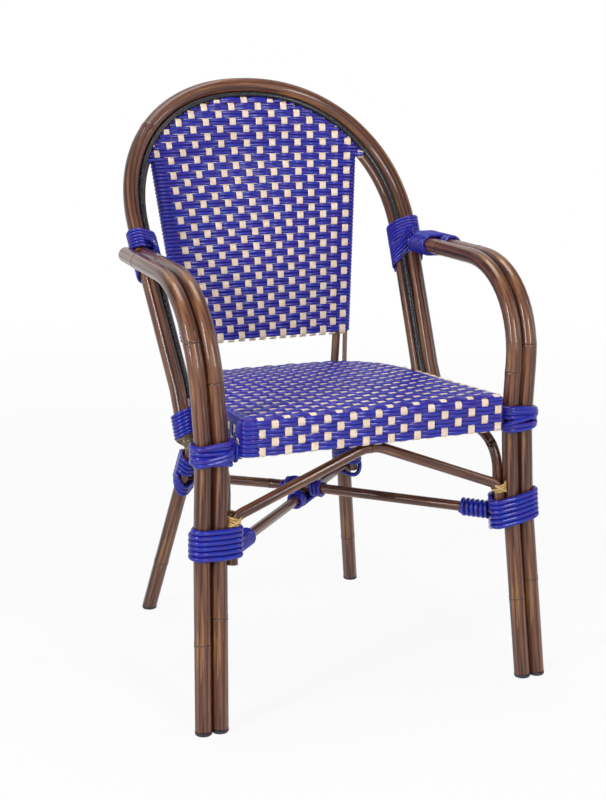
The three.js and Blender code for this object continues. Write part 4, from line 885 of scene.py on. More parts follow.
rail_z = PANEL_BOTTOM_Z + RAIL_RISE
rail_end = spot(panel_half(rail_z) - UPRIGHT_INSET,
                panel_edge_y(rail_z) + PANEL_THICKNESS + PANEL_GAP + UPRIGHT_R, rail_z)
bamboo_tube("back_rail_tube", "back_bottom_rail", np.linspace(rail_end * (-1, 1, 1), rail_end, 9),
            UPRIGHT_R, 20)

# ---- The back panel's weave ----
# Pairs of blue plastic strands run across and cream ribbons run up, each going over one and
# under the next. The strands wrap round the side rods, and over the arch they reach the piping.

STRAND_WIDTH, STRAND_THICKNESS, RIBBON_WIDTH, RIBBON_THICKNESS = 6.15, 3.2, 11.2, 1.2
STRAND_WAVE, RIBBON_WAVE, WEAVE_DEPTH = 1.4, 0.85, 1.2
PANEL_ROWS, PANEL_ROW_PITCH, PANEL_FIRST_Z = 33, 12.077, PANEL_BOTTOM_Z + 4
PANEL_FIRST_COLUMN, PANEL_COLUMN_PITCH, PANEL_COLUMNS = -0.828, 0.124, 15
PANEL_WRAP_Z, PANEL_TOP_Z, PANEL_FACE_TOP_Z = PANEL_SHOULDER_Z + 9, 879.4, 881
PANEL_PAIR_SHIFT = 2.95


def strand_paint(name, first, second):
    """Glossy plastic with a faint lengthwise grain, whose colour drifts between two."""
    paint, shader, add = node_kit(name)
    place = straight_place(add)
    lot = add("ShaderNodeAttribute", attribute_name="shade").node.outputs["Fac"]
    drift = noise(add, place, 55, 3)
    mixed = add("ShaderNodeMath", {0: lot, 1: 0.16, 2: drift}, operation="MULTIPLY_ADD")
    grain = noise(add, stretched(add, place, 0.05), 1500, 4)
    set_inputs(shader, {"Base Color": ramp(add, mixed, (0.35, first), (0.72, second)),
                        "Specular IOR Level": 0.45, **grained(add, grain, 0.24, 0.12, 0.12, 0.0003)})
    return paint


BLUE_STRAND = strand_paint("blue_strand_plastic", (0.007, 0.026, 0.38), (0.034, 0.016, 0.29))

CREAM_RIBBON, shader, add = node_kit("cream_ribbon_plastic")
place = straight_place(add)
fibre = noise(add, stretched(add, place, 0.04), 1100, 4)
cream = ramp(add, noise(add, place, 130, 2), (0.35, (0.93, 0.7, 0.47)), (0.65, (0.96, 0.8, 0.64)))
lines = ramp(add, fibre, (0.3, grey(0.86)), (0.6, grey(1)))
set_inputs(shader, {"Base Color": blended(add, 1, cream, lines, "MULTIPLY"),
                    **grained(add, fibre, 0.5, 0.36, 0.15, 0.0003)})


def panel_place(x, z):
    """A point of the panel's front face and the direction that faces forward there."""
    here = spot(x, panel_y(x, z), z)
    across = spot(x + 1, panel_y(x + 1, z), z) - spot(x - 1, panel_y(x - 1, z), z)
    one_sided = z > PANEL_FACE_TOP_Z - 1 or abs(z - PANEL_SHOULDER_Z - 3) < 6
    low, high = (z - 2, z) if one_sided else (z - 1, z + 1)
    upward = spot(x, panel_y(x, high), high) - spot(x, panel_y(x, low), low)
    if not np.all(np.isfinite(upward)) or upward[1] < -0.5:
        upward = spot(0, 0.2, 1)
    return here, unit(np.cross(across, upward))


def ease(value, low, high):
    """Rises smoothly from 0 at low to 1 at high."""
    share = max(0, min(1, (value - low) / (high - low)))
    return share * share * (3 - 2 * share)


def panel_bow(share, z):
    """How far the ribbons bow to the right at a height, as a share of the half width."""
    return (0.02 + max(z - 500, 0) * 0.000135) * max(1 - share * share, 0)


def panel_strand(row, shift):
    """One strand of a row: over and under the ribbons, with a turn round each side rod."""
    z = min(PANEL_FIRST_Z + PANEL_ROW_PITCH * (row + 0.5) + shift, PANEL_TOP_Z)
    wraps = z < PANEL_WRAP_Z
    half = panel_half(z) if wraps else panel_reach(z)[0]
    end = half - ROD_INSET if wraps else half - 2
    count = max(int(2 * end / 3.3), 8)
    points, facing = [], []
    for x in np.linspace(-end, end, count):
        share = x / panel_half(z)
        phase = (share - panel_bow(share, z) - PANEL_FIRST_COLUMN) / PANEL_COLUMN_PITCH
        wave = -STRAND_WAVE * (-1) ** row * math.cos(math.pi * phase)
        if wraps:
            wave *= ease(phase, -0.8, -0.35) * ease(PANEL_COLUMNS - 1 - phase, -0.8, -0.35)
            for inset, rise in ((ROD_INSET, 1.5), (UPRIGHT_INSET, 1.1)):
                wave += rise * math.exp(-((half - abs(x) - inset) / 5) ** 2) * (1 if x < 0 else 0.3)
        here, forward = panel_place(x, z)
        points.append(here + forward * (wave - WEAVE_DEPTH))
        facing.append(forward)
    if not wraps:
        return {"points": np.array(points), "facing": np.array(facing)}
    for sign in (1, -1):
        last, outward = points[-1], spot(sign, 0, 0)
        back = PANEL_THICKNESS + PANEL_GAP + ROD_R + WEAVE_DEPTH - 1.5
        reach = ROD_R + STRAND_THICKNESS / 2 + 0.2
        turn = [(math.sin(angle), math.cos(angle)) for angle in np.linspace(0.35, 4.2, 11)]
        for out, front in turn:
            depth = back if front > 0 else reach
            points.append(last + outward * out * reach + spot(0, back - front * depth, 0))
            facing.append(unit(outward * out + spot(0, -front, 0)))
        points.reverse()
        facing.reverse()
    return {"points": np.array(points), "facing": np.array(facing)}


def ribbon_wave(phase):
    """How far a ribbon stands out: it lies flat on or under each pair and dips between them."""
    wave = np.cos(np.pi * phase)
    return np.sign(wave) * np.minimum(1, abs(wave) * 1.7) * RIBBON_WAVE


def panel_ribbon(column):
    """One ribbon from the rail up to the arch, over one pair of strands and under the next."""
    share = PANEL_FIRST_COLUMN + PANEL_COLUMN_PITCH * column
    inner = 0 <= column < PANEL_COLUMNS
    points, facing = [], []
    low = PANEL_FIRST_Z - 1.5 if inner else PANEL_WRAP_Z + 1
    for z in np.arange(low, PANEL_TOP_Z + 2.5, 1.9):
        x = (share + panel_bow(share, z)) * panel_half(z)
        face_z = min(z, PANEL_FACE_TOP_Z)
        if abs(x) > panel_reach(face_z)[0] - 1 and z > PANEL_SHOULDER_Z:
            continue
        phase = (z - PANEL_FIRST_Z) / PANEL_ROW_PITCH - 0.5 + column
        here, forward = panel_place(x, face_z)
        here[2] = z
        points.append(here + forward * (ribbon_wave(phase) - WEAVE_DEPTH))
        facing.append(forward)
    if len(points) < 4:
        return None
    first, forward = points[0], facing[0]
    hook = [(math.sin(angle), math.cos(angle)) for angle in np.linspace(math.pi * 0.9, 0.3, 6)]
    tail = [first - forward * (2.6 + 2.6 * back) + spot(0, 0, -2.4 * down) for down, back in hook]
    turned = [unit(forward * -back + spot(0, 0, -down)) for down, back in hook]
    return {"points": np.array(tail + points), "facing": np.array(turned + facing)}


panel_wefts = [panel_strand(row, shift) for row in range(PANEL_ROWS)
               for shift in (-PANEL_PAIR_SHIFT, PANEL_PAIR_SHIFT)]
panel_blue = along_lines("back_weave_strands", panel_wefts, STRAND_WIDTH, STRAND_THICKNESS,
                         BLUE_STRAND, sides=8)
fit_piece(panel_blue, "weave", "back_weave")
panel_warps = [panel_ribbon(column) for column in range(-2, PANEL_COLUMNS + 2)]
panel_cream = along_lines("back_weave_ribbons", [warp for warp in panel_warps if warp],
                          RIBBON_WIDTH, RIBBON_THICKNESS, CREAM_RIBBON, sides=12, roundness=0.55)
fit_piece(panel_cream, "weave")

# ---- The seat's weave ----
# Blue pairs of strands run across the top and down the sides, and cream ribbons run from front
# to rear over them. Along the front and rear walls the pairs lie level and turn the corners.

SEAT_EDGE_R = 11
SEAT_WALL_ROWS, SEAT_ROW_PITCH, SEAT_TOP_PITCH = 6, 12.95, 12.5
SEAT_FIRST_RUN, SEAT_PATCH_Y, SEAT_COLUMNS = -4, 120, 19
SEAT_TOP_PAIR_SHIFT, SEAT_WALL_PAIR_SHIFT = 3.05, 3.2
CROWN_MIDDLE_Y, CROWN_HALF_X, CROWN_HALF_Y = -32.5, 199, 209
SIDE_RIBBON_HEIGHTS = (6.5, 24, 41)
column_numbers = np.arange(SEAT_COLUMNS)
seat_column_x = np.interp(column_numbers, (0, 11, 18), (-182.7, 40.6, 198.4))
seat_half_line = seat_outline(SEAT_CORNER_R)
wall_rise = SEAT_HEIGHT - SEAT_EDGE_R
edge_run = SEAT_EDGE_R * math.pi / 2


def seat_half_at(y):
    """Half the seat's width at a depth."""
    return float(np.interp(y, seat_half_line[39:, 1], seat_half_line[39:, 0]))


def seat_crown(x, y):
    """How much higher than its rim the seat's top is at a place."""
    share = (abs(x / CROWN_HALF_X) ** 4 + abs((y - CROWN_MIDDLE_Y) / CROWN_HALF_Y) ** 4) ** 0.25
    return SEAT_CROWN * max(1 - share * share, 0)


def seat_section(low, high, step, tuck):
    """Up one wall, over the top and down the other: offsets along, rises, their outward slants,
    whether the place is on top, and the run from the foot of the first wall."""
    def side(place, sign):
        wall = [(place, rise, -sign, 0) for rise in np.arange(-tuck, wall_rise, step)]
        for angle in np.linspace(0, math.pi / 2, 7)[:-1]:
            out, up = math.cos(angle), math.sin(angle)
            wall.append((place + sign * SEAT_EDGE_R * (1 - out), wall_rise + SEAT_EDGE_R * up,
                         -sign * out, up))
        return wall
    first, last = side(low, 1), side(high, -1)[::-1]
    flat = high - low - 2 * SEAT_EDGE_R
    middle = [(low + SEAT_EDGE_R + flat * share, SEAT_HEIGHT, 0, 1)
              for share in np.linspace(0, 1, max(int(flat / step), 2))]
    places = np.array(first + middle + last)
    return places, run_lengths(places[:, :2]) - tuck


wall_row_runs = SEAT_FIRST_RUN + SEAT_ROW_PITCH * np.arange(SEAT_WALL_ROWS)
top_run = wall_rise + edge_run
top_row_y = np.arange(SEAT_FRONT_Y + SEAT_EDGE_R + wall_row_runs[-1] + SEAT_ROW_PITCH - top_run,
                      SEAT_REAR_Y - 14, SEAT_TOP_PITCH)
row_runs = np.concatenate((wall_row_runs, top_row_y - SEAT_FRONT_Y - SEAT_EDGE_R + top_run))


def tucked(places, normals, step=4.5):
    """A line's ends turned inwards under its edge."""
    def curl(end, inward, away):
        return [end - inward * step * 0.35 + away * step * 0.5, end - inward * step + away * step * 0.55]
    head = curl(places[0], normals[0], unit(places[0] - places[1]))[::-1]
    tail = curl(places[-1], normals[-1], unit(places[-1] - places[-2]))
    points = np.vstack((head, places, tail))
    facing = np.vstack((normals[:1], normals[:1], normals, normals[-1:], normals[-1:]))
    return {"points": points, "facing": facing}


def seat_ribbon(column):
    """A ribbon up the front wall, over the top and down the rear wall."""
    x = seat_column_x[column]
    front = SEAT_FRONT_Y + max(SEAT_CORNER_R - math.sqrt(
        max(SEAT_CORNER_R ** 2 - max(abs(x) - SEAT_HALF_WIDTH + SEAT_CORNER_R, 0) ** 2, 0)), 0)
    rear = SEAT_REAR_Y * (1 - min(abs(x) / SEAT_REAR_HALF_WIDTH, 0.985) ** 3) ** (1 / 3)
    places, run = seat_section(front, rear, 2.1, -3)
    row = np.interp(run, row_runs, np.arange(len(row_runs)), right=len(row_runs))
    past = run > row_runs[-1]
    row[past] = len(row_runs) - 1 + (run[past] - row_runs[-1]) / SEAT_ROW_PITCH
    lift = -ribbon_wave(row + column) - WEAVE_DEPTH - 0.3
    points, normals = [], []
    for (y, rise, out, up), height in zip(places, lift):
        lifted = rise + seat_crown(x, y) * up
        normal = spot(0, out, up)
        half = seat_half_at(max(min(y, SEAT_REAR_Y - 1), SEAT_FRONT_Y + SEAT_CORNER_R)) - 7
        kept_x = math.copysign(min(abs(x), half), x) if abs(x) > 150 else x
        points.append(spot(kept_x, y, seat_z(y, lifted)) + normal * height)
        normals.append(normal)
    return tucked(np.array(points), np.array(normals))


def seat_top_strand(number, shift):
    """A strand across the top at one row, over both side edges and down the side walls."""
    y = top_row_y[number] + shift
    half = seat_half_at(y)
    row = SEAT_WALL_ROWS + number
    places, _ = seat_section(-half, half, 3.2, -1 if y < SEAT_PATCH_Y else -wall_rise + 2)
    columns = np.interp(places[:, 0], seat_column_x, column_numbers)
    wave = STRAND_WAVE * np.cos(np.pi * (row + columns))
    inside = np.clip((half - 11 - abs(places[:, 0])) / 8, 0, 1)
    side_wave = STRAND_WAVE * np.cos(np.pi * (places[:, 1] + 3) / 20.5 + math.pi * row)
    wave = wave * inside + side_wave * (places[:, 1] < wall_rise)
    points, normals = [], []
    for (x, rise, out, up), height in zip(places, wave):
        normal = spot(out, 0, up)
        lifted = rise + seat_crown(x, y) * up
        points.append(spot(x, y, seat_z(y, lifted)) + normal * (height - WEAVE_DEPTH - 0.5))
        normals.append(normal)
    return tucked(np.array(points), np.array(normals))


def seat_wall_strand(run, number, rear):
    """A level strand along the front or rear wall, round the corners at its ends."""
    if run < wall_rise:
        inset, rise, out, up = 0, run, 1, 0
    else:
        angle = (run - wall_rise) / SEAT_EDGE_R
        out, up = math.cos(angle), math.sin(angle)
        inset, rise = SEAT_EDGE_R * (1 - out), wall_rise + SEAT_EDGE_R * up
    line = moved_in(seat_half_line, inset)
    if rear:
        line = line[(line[:, 1] > SEAT_PATCH_Y)][::-1]
    else:
        line = line[line[:, 1] < SEAT_FRONT_Y + SEAT_CORNER_R + 5]
    lengths = run_lengths(line)
    stations = np.linspace(0, lengths[-1], int(lengths[-1] / 3.1))
    half = np.column_stack([np.interp(stations, lengths, line[:, k]) for k in range(2)])
    flat = np.vstack((half[::-1] * (-1, 1), half[1:]))
    steps = np.gradient(flat, axis=0)
    outward = np.stack((steps[:, 1], -steps[:, 0]), 1) * (-1 if rear else 1)
    outward /= np.linalg.norm(outward, axis=1)[:, None]
    columns = np.interp(flat[:, 0], seat_column_x, column_numbers)
    wave = STRAND_WAVE * np.cos(np.pi * (number + columns))
    wave = np.where((flat[:, 0] < -188) | (flat[:, 0] > 206), 0, wave)
    if not rear:
        for middle, half_width in ((-195, 3.4), (-208, 2.6)):
            wave = wave + 1.2 * np.exp(-((flat[:, 0] - middle) / half_width) ** 2)
    points = [spot(x, y, seat_z(SEAT_REAR_Y if rear else y, rise)) for x, y in flat]
    normals = [spot(a * out, b * out, up) for a, b in outward]
    points = [place + normal * (height - WEAVE_DEPTH + 0.2)
              for place, normal, height in zip(points, normals, wave)]
    return {"points": np.array(points), "facing": np.array(normals)}


def seat_side_ribbon(side, height, number):
    """A level ribbon along a side wall, over and under the pairs that come down it."""
    points, normals = [], []
    for y in np.arange(SEAT_FRONT_Y + SEAT_CORNER_R + 2, 150, 2.1):
        row = SEAT_WALL_ROWS + (y - top_row_y[0]) / SEAT_TOP_PITCH
        lift = -ribbon_wave(row + number)
        points.append(spot(side * (seat_half_at(y) - WEAVE_DEPTH - 0.4 + lift), y, seat_z(y, height)))
        normals.append(spot(side, 0, 0))
    return tucked(np.array(points), np.array(normals), 2)


top_strands = [seat_top_strand(number, shift) for number in range(len(top_row_y))
               for shift in (-SEAT_TOP_PAIR_SHIFT, SEAT_TOP_PAIR_SHIFT)]
seat_top = along_lines("seat_weave_top_strands", top_strands, STRAND_WIDTH + 0.2, STRAND_THICKNESS,
                       BLUE_STRAND, sides=8)
fit_piece(seat_top, "weave", "seat_weave")
wall_strands = [seat_wall_strand(run + shift, number, rear) for rear in (False, True)
                for number, run in enumerate(wall_row_runs)
                for shift in (-SEAT_WALL_PAIR_SHIFT, SEAT_WALL_PAIR_SHIFT) if run + shift > 1]
seat_walls = along_lines("seat_weave_wall_strands", wall_strands, STRAND_WIDTH + 0.5, STRAND_THICKNESS,
                         BLUE_STRAND, sides=8)
fit_piece(seat_walls, "weave")
ribbons = [seat_ribbon(column) for column in range(SEAT_COLUMNS)]
ribbons += [seat_side_ribbon(side, height, number) for side in (-1, 1)
            for number, height in enumerate(SIDE_RIBBON_HEIGHTS)]
seat_cream = along_lines("seat_weave_ribbons", ribbons, RIBBON_WIDTH, RIBBON_THICKNESS, CREAM_RIBBON,
                         sides=12, roundness=0.55)
fit_piece(seat_cream, "weave")

# ---- The bindings ----
# Each joint is wound with a round strand of blue plastic, 4 to 8 mm thick, loop beside loop, and
# at the seat and the arms with slanting strands over it. The ends are tucked under. Tan ties hold
# the braces and close the posts' feet; at the posts' feet the tan is painted darker, as painted shade under
# the seat.

BINDING_R, BINDING_PITCH, ENTRY_PITCH = 3.75, 7.65, 6.6
SLANT_R, POST_STRAND_R, POST_TIE_R, SPIRAL_R, BRACE_TIE_R = 3.4, 2.9, 2, 3.2, 1.9
OUTWARDS, UPWARDS = spot(1, 0, 0), spot(0, 0, 1)
TAN_STRAND = strand_paint("tan_strand_plastic", (0.5, 0.3, 0.1), (0.7, 0.47, 0.2))
# The same tan strand painted much darker: painted shade for the ties at the posts' feet under the seat
TAN_STRAND_IN_PAINTED_SHADE = strand_paint("tan_strand_plastic_painted_shade", (0.09, 0.055, 0.028), (0.2, 0.13, 0.07))


def joint_frame(origin, along, across=OUTWARDS):
    """A joint's middle and its own directions: across, back and along."""
    along = unit(along)
    back = unit(np.cross(along, across))
    return origin, np.array((np.cross(back, along), back, along))


def bundle_rim(bundle, offset, start):
    """The line round a bundle of tubes: its angles, its places and the share of a turn run."""
    angles = start + np.arange(0, 361, 1.5)
    ways = np.array((np.cos(np.radians(angles)), np.sin(np.radians(angles))))
    circles = np.array(bundle, float)
    outer = circles[(circles[:, :2] @ ways + circles[:, 2:]).argmax(0)]
    places = outer[:, :2] + (outer[:, 2:] + offset) * ways.T
    run = run_lengths(places)
    return angles, places, run / run[-1]


def on_rim(rim, share):
    """The place at a share of a turn, and the angle that it faces."""
    angles, places, shares = rim
    x, y, angle = (np.interp(share, shares, row) for row in (*places.T, angles))
    return x, y, math.radians(angle)


def joint_line(frame, stations, side):
    """A strand from places in a joint: (x, y, height, angle that it faces)."""
    origin, axes = frame
    places = np.array([origin + np.array((x, y, height)) @ axes for x, y, height, _ in stations])
    facing = np.array([math.cos(angle) * axes[0] + math.sin(angle) * axes[1] for *_, angle in stations])
    return {"points": mirrored(places, side), "facing": mirrored(facing, side)}


def entry_gap(frame, place, way, reach, hold=(0.03, 0.14), angle=None):
    """A tube that enters a joint, as the loops that part round it need it."""
    way = frame[1] @ unit(way)
    if angle is None:
        angle = math.degrees(math.atan2(way[1], way[0]))
    return {"place": frame[1] @ (place - frame[0]), "way": way, "reach": reach, "angle": angle,
            "hold": hold}


def wound(frame, side, bundle_at, loops, start=0.0, pitch=BINDING_PITCH, radius=BINDING_R, middle=0.0,
          tilt=0.0, entry=None):
    """One strand wound loop beside loop round a bundle, with its ends tucked in."""
    steps = 60
    if entry:
        rim = bundle_rim(bundle_at(0), radius + FIT, start)
        entry_share = float(np.interp((entry["angle"] - start) % 360, rim[0] - start, rim[2]))
        x, y, _ = on_rim(rim, entry_share)
        shift = middle + tilt * x
        first_above = math.ceil((entry_level(entry, x, y) - shift) / pitch + loops / 2 - entry_share)
    stations = []
    for i in range(int(loops * steps) + 1):
        turn = i / steps
        level = pitch * (turn - loops / 2) + middle
        buried = max(ease(i, 8, 0), ease(i, loops * steps - 8, loops * steps)) * radius * 1.3
        x, y, angle = on_rim(bundle_rim(bundle_at(level), radius + FIT - buried, start), turn % 1)
        height = level + tilt * x
        if entry:
            entry_height = entry_level(entry, x, y)
            height = parted(height, turn - entry_share, entry_height, first_above, entry, radius)
        stations.append((x, y, height, angle))
    return joint_line(frame, stations, side)


def entry_level(entry, x, y):
    """How high the entering tube's middle line is beside a place on the rim."""
    place, way = entry["place"], entry["way"]
    along = (x - place[0]) * way[0] + (y - place[1]) * way[1]
    return place[2] + along * way[2] / (way[0] ** 2 + way[1] ** 2)


def parted(height, past, level, first_above, entry, radius):
    """A loop's height, moved above or below the tube that enters the joint where it passes."""
    room = (entry["reach"] + FIT + radius) / math.hypot(entry["way"][0], entry["way"][1])
    index = round(past)
    above = max(height, level + room + (index - first_above) * ENTRY_PITCH)
    below = min(height, level - room - (first_above - 1 - index) * ENTRY_PITCH)
    target = above if index >= first_above else below
    return target + (height - target) * ease(abs(past - index), *entry["hold"])


def laid(frame, side, bundle_at, places, radius=BINDING_R):
    """A strand laid over a bundle through places of (angle, height, lift)."""
    first = places[0][0] - 20
    rim = bundle_rim(bundle_at(0), radius + FIT, first)
    rows = [(float(np.interp(angle, rim[0], rim[2])), height, lift) for angle, height, lift in places]
    curve = smoothed(rows)
    run = run_lengths(curve * (200, 1, 1))
    even = np.linspace(0, run[-1], max(int(run[-1] / 2.2), 12))
    stations = []
    for share, height, lift in np.column_stack([np.interp(even, run, column) for column in curve.T]):
        x, y, angle = on_rim(bundle_rim(bundle_at(height), radius + FIT + lift, first), share)
        stations.append((x, y, height, angle))
    return joint_line(frame, stations, side)


def tube_places(frame, height, *tubes):
    """Where a joint's tubes are at a height: (x, y, radius)."""
    origin, axes = frame
    bundle = []
    for tube_at, radius in tubes:
        x, y, _ = axes @ (tube_at(origin[2] + height) - origin)
        bundle.append((x, y, radius))
    return bundle


def bind(name, lines, finish, *nodes, radius=BINDING_R, sides=12):
    """Makes a joint's strands one piece that stands for its CAD nodes."""
    piece = along_lines(name, lines, 2 * radius, 2 * radius, finish, sides=sides)
    fit_piece(piece, "strand", *nodes)


def level_frame(z):
    """A joint on the leg pair, level, with its middle between the two tubes."""
    return leg_pair_at(z), np.eye(3)


# Low on the front legs, round the pair and both brace feet
LOW_BINDING_Z, LOW_TILTS = 275.4, {"left": 0.0, "right": 0.167}
for name, side in SIDES:
    frame_here = level_frame(LOW_BINDING_Z)
    tubes = ((outer_leg_at, TUBE_R), (inner_leg_at, TUBE_R), (front_brace_at, BRACE_R),
             (side_brace_at, BRACE_R))
    line = mirrored(bowed_ends if side > 0 else low_ends, side)
    gap = entry_gap(frame_here, line[0], line[1] - line[0], BRACE_R)
    tilt = LOW_TILTS[name]
    loops = wound(frame_here, side, lambda h: tube_places(frame_here, h, *tubes), 6, 45,
                  middle=-tilt * 28, tilt=tilt, entry=gap)
    bind(f"low_binding_{name}_strand", [loops], BLUE_STRAND, f"low_binding_{name}")

# Beside the seat, round the pair: the loops part at the stub, and slanting strands lie over them
SEAT_BINDING_Z, SEAT_BINDING_PITCH = {"left": 408, "right": 414}, {"left": 7.3, "right": 7}
STUB_ANGLE, STUB_HOLD = {"left": -175, "right": -140}, {"left": (0.03, 0.13), "right": (0.13, 0.46)}
SEAT_SLANTS = {
    "left": (((186, 12, -3), (215, 9, 2.5), (262, -2, 4.2), (315, -8, 2.5), (350, -9, -3)),
             ((186, 7, -3), (215, 3.5, 2.5), (262, -8, 4.2), (315, -14, 2.5), (350, -15, -3)),
             ((186, 17, -2), (225, 15.5, 2), (280, 12, 2.5), (330, 7, 2), (360, 6, -3))),
    "right": (((170, 13.5, 0), (205, 13, 1.5), (250, 13, 2.5), (330, 9, 2.5), (375, 5, -3)),
              ((170, -12, 0), (205, -10, 1.5), (250, -5, 2.5), (300, 3, 3), (345, 9, 0), (375, 10, -4)),
              ((170, -14, 0), (210, -13, 1.5), (260, -11, 2), (330, -8, 2), (375, -7, -4)))}


def stub_loop(side, reach):
    """A closed loop of strand round the seat's stub, at a distance from the leg's middle."""
    centre = inner_leg_at(stub_z) + (-reach, -1.5, 1)
    turn = np.linspace(0, 2 * math.pi, 41)[:-1]
    out = np.column_stack((0 * turn, -np.cos(turn), np.sin(turn)))
    return {"points": mirrored(centre + out * (0, 11.5, 14), side), "facing": out, "closed": True,
            "girth": np.full(len(turn), 0.8)}


for name, side in SIDES:
    frame_here = level_frame(SEAT_BINDING_Z[name])

    def pair(height):
        return tube_places(frame_here, height, (outer_leg_at, TUBE_R), (inner_leg_at, TUBE_R))

    gap = entry_gap(frame_here, inner_leg_at(stub_z), -OUTWARDS, STUB_R, STUB_HOLD[name], STUB_ANGLE[name])
    strands = [wound(frame_here, side, pair, 4, 165, pitch=SEAT_BINDING_PITCH[name], entry=gap)]
    strands += [laid(frame_here, side, pair, places, SLANT_R) for places in SEAT_SLANTS[name]]
    if name == "left":
        strands += [stub_loop(side, reach) for reach in (14.6, 20.7)]
    bind(f"seat_binding_{name}_strands", strands, BLUE_STRAND, f"seat_binding_{name}")

# At the arms: strands fan out from the arm over both hoops and the piping
ARM_STRAND_R = 2.8
arm_bundle = ((0, 0, TUBE_R), (-INNER_HOOP_INWARD, INNER_HOOP_BACK, INNER_HOOP_R + FIT),
              (-PIPING_INWARD, 0, PIPING_R))
arm_frame = joint_frame(arm_post, post_at(SPRING_Z) - post_at(POST_KINK_Z))
pair_way = unit(LEG_CORNERS[-1] - spot(arm_post[0] + PAIR_SPACING / 2, arm_post[1], ARM_BACK_Z))


def arm_fan_strand(side, number):
    """A strand from behind the inner hoop, up across the front, and over the arm's inner side."""
    height = -3 - 4.8 * number
    stations = []
    for angle, drop, lift in ((140, -5, -4), (160, -1.5, 0), (178, 1, 0.6), (196, 3, 1)):
        rim = bundle_rim(arm_bundle, ARM_STRAND_R + FIT + lift, 120)
        x, y, facing = on_rim(rim, float(np.interp(angle, rim[0], rim[2])))
        stations.append((x, y, height + drop, facing))
    for reach, back, turned in ((16.6, -14, 0), (16.2, -22, 4), (15.2, -29, 8), (11.5, -37, 12)):
        slant = math.radians(108 + 19.5 * number - turned)
        stations.append((reach * math.cos(slant), back, reach * math.sin(slant), math.radians(215)))
    line = joint_line(arm_frame, smoothed(stations), side)
    return {**line, "girth": np.linspace(0.84, 0.68, len(line["points"]))}


for name, side in SIDES:
    strands = [arm_fan_strand(side, number) for number in range(9)]
    for number in range(6):
        low, high = 24 - 5.8 * number, 38 - 5.2 * number
        strands.append(laid(arm_frame, side, lambda h: arm_bundle, (
            (140, low - 5, -4), (160, low, 0), (200, low + 5, 0.8), (247, high - 4, 1), (300, high - 1, 0.5),
            (345, high, 0), (450, low, 0), (500, low - 5, -3)), ARM_STRAND_R))
    for number in range(8):
        strands.append(laid(arm_frame, side, lambda h: arm_bundle, (
            (315, -14.5 - 0.9 * number, -4), (345, -13.5 - 1.4 * number, 0), (385, -9 - 4.4 * number, 0),
            (450, -6.4 * number, 0), (502, -4 - 6.2 * number, -3)), ARM_STRAND_R))
    if side > 0:
        half = PAIR_SPACING / 2
        for shift, tubes, loops, away in ((half, (-half, half), 8, 46), (PAIR_SPACING, (0,), 3, 86)):
            arm_place = arm_post + (shift, 0, 0) + pair_way * away
            strands.append(wound(joint_frame(arm_place, pair_way), side,
                                 lambda h: [(x, 0, TUBE_R) for x in tubes], loops, 250, pitch=6.6,
                                 radius=ARM_STRAND_R, tilt=0.12))
    bind(f"arm_binding_{name}_strands", strands, BLUE_STRAND, f"arm_binding_{name}",
         radius=ARM_STRAND_R)

# On the posts' feet beside the seat, with tan strands that close the tubes' ends, painted darker as painted
# shade under the seat
post_frame = joint_frame(post_at(402), post_at(POST_KINK_Z) - post_at(POST_END_Z))


def post_round(height):
    """The post's section, the same at every height."""
    return ((0, 0, TUBE_R),)


for name, side in SIDES:
    strands = [wound(post_frame, side, post_round, 7, 162, pitch=5.6, radius=POST_STRAND_R, middle=-1,
                     tilt=-0.35)]
    bind(f"post_binding_{name}_strand", strands, BLUE_STRAND, f"post_binding_{name}",
         radius=POST_STRAND_R)
    ties = [wound(post_frame, side, post_round, 2, 160, pitch=4.2, radius=POST_TIE_R, middle=-25.5,
                  tilt=0.1)]
    for angle in range(20, 380, 40):
        slant = math.radians(angle)
        ties.append(joint_line(post_frame, smoothed([
            (reach * math.cos(slant), reach * math.sin(slant), height, slant)
            for reach, height in ((11.5, -20), (14.6, -25), (11, -31), (5, -35), (2.5, -40))]), side))
    # The ties take the darker tan, which is painted shade under the seat
    bind(f"post_tie_{name}", ties, TAN_STRAND_IN_PAINTED_SHADE, radius=POST_TIE_R, sides=10)

# Round the rear legs and the side arches' rear feet
rear_frame = joint_frame(rear_leg_at(267), rear_direction)
rear_foot = rear_frame[1] @ (rear_side * BRACE_REACH)
rear_bundle = ((0, 0, TUBE_R), (rear_foot[0], rear_foot[1], BRACE_R))
for name, side in SIDES:
    line = mirrored(low_ends if side > 0 else bowed_ends, side)
    gap = entry_gap(rear_frame, line[2], line[1] - line[2], BRACE_R, hold=(0.03, 0.24))
    loops = wound(rear_frame, side, lambda h: rear_bundle, 7, 75, pitch=7.5, tilt=0.3, entry=gap)
    bind(f"rear_leg_binding_{name}_strand", [loops], BLUE_STRAND, f"rear_leg_binding_{name}")


def spiral(line, start, loops, pitch=BINDING_PITCH):
    """A strand wound round a straight stretch of a stretcher, from a run along it."""
    way = unit(line[1] - line[0])
    frame_here = joint_frame(line[0] + way * (start + loops * pitch / 2), way, UPWARDS)
    return wound(frame_here, 1, lambda h: ((0, 0, BRACE_R),), loops, 20, pitch, SPIRAL_R)


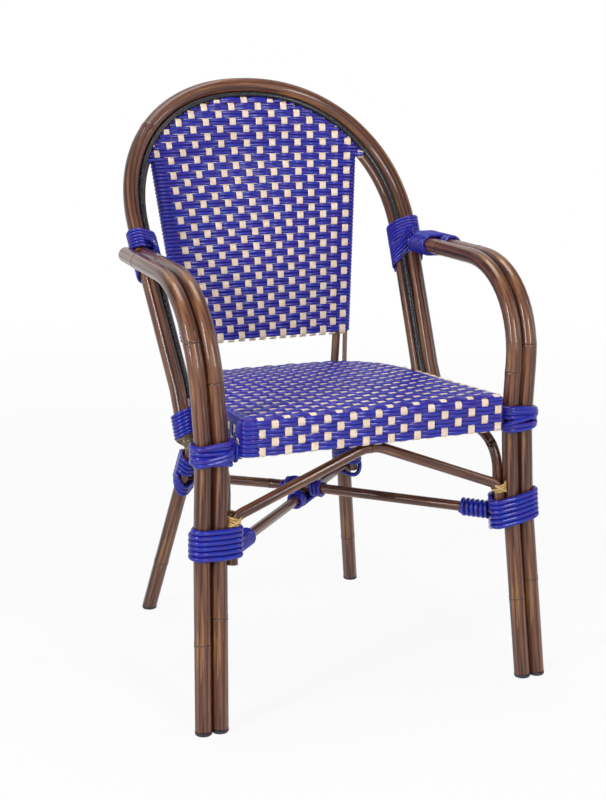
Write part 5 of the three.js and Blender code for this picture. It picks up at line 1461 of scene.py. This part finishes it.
# Along the stretchers' front ends, and where the two stretchers cross
bind("low_stretcher_spiral_strand", [spiral(low_ends, 40, 6.5)], BLUE_STRAND, "low_stretcher_spiral",
     radius=SPIRAL_R)
bind("bowed_stretcher_spiral_strand", [spiral(bowed_ends, 12, 6.5)], BLUE_STRAND,
     "bowed_stretcher_spiral", radius=SPIRAL_R)
cross_frame = joint_frame((low_ends[1] + bowed_ends[1]) / 2, spot(0, 1, 0))
cross_slope = abs((low_ends[2] - low_ends[0])[0] / (low_ends[2] - low_ends[0])[1])
cross_widening = BRACE_R * (math.hypot(1, cross_slope) - 1)


def crossing(height):
    """The two stretchers' sections, which slide apart away from the crossing."""
    return [(way * (height * cross_slope) + shift, way * (BRACE_R + FIT / 2), BRACE_R + 0.8)
            for way in (1, -1) for shift in (-cross_widening, cross_widening)]


CROSS_PITCH = 6.8
bowed_run, low_run = run_lengths(np.array(bowed_ends)), run_lengths(np.array(low_ends))
lashing = [wound(cross_frame, 1, crossing, 4, radius=SPIRAL_R),
           spiral(bowed_ends, bowed_run[1] - 38, 3, CROSS_PITCH),
           spiral(low_ends, low_run[1] - 36, 3, CROSS_PITCH),
           spiral(bowed_ends[::-1], bowed_run[2] - bowed_run[1] - 32, 2, CROSS_PITCH)]
bind("crossing_binding_strands", lashing, BLUE_STRAND, "crossing_binding", radius=SPIRAL_R)

# Tan ties hold the side arches to the front arch above the low bindings
knee_frame = joint_frame(front_brace_at(307), UPWARDS)


def knee(height):
    """The two arches' feet, side by side above the low binding."""
    return tube_places(knee_frame, height, (front_brace_at, BRACE_R), (side_brace_at, BRACE_R))


for name, side in SIDES:
    slanting = ((150, 8, -2), (190, 6, 1.5), (250, -2, 2), (310, -8, 1), (340, -9, -2))
    ties = [wound(knee_frame, side, knee, 3, 200, pitch=4.4, radius=BRACE_TIE_R, tilt=0.3),
            laid(knee_frame, side, knee, slanting, BRACE_TIE_R)]
    bind(f"brace_tie_{name}", ties, TAN_STRAND, radius=BRACE_TIE_R, sides=10)
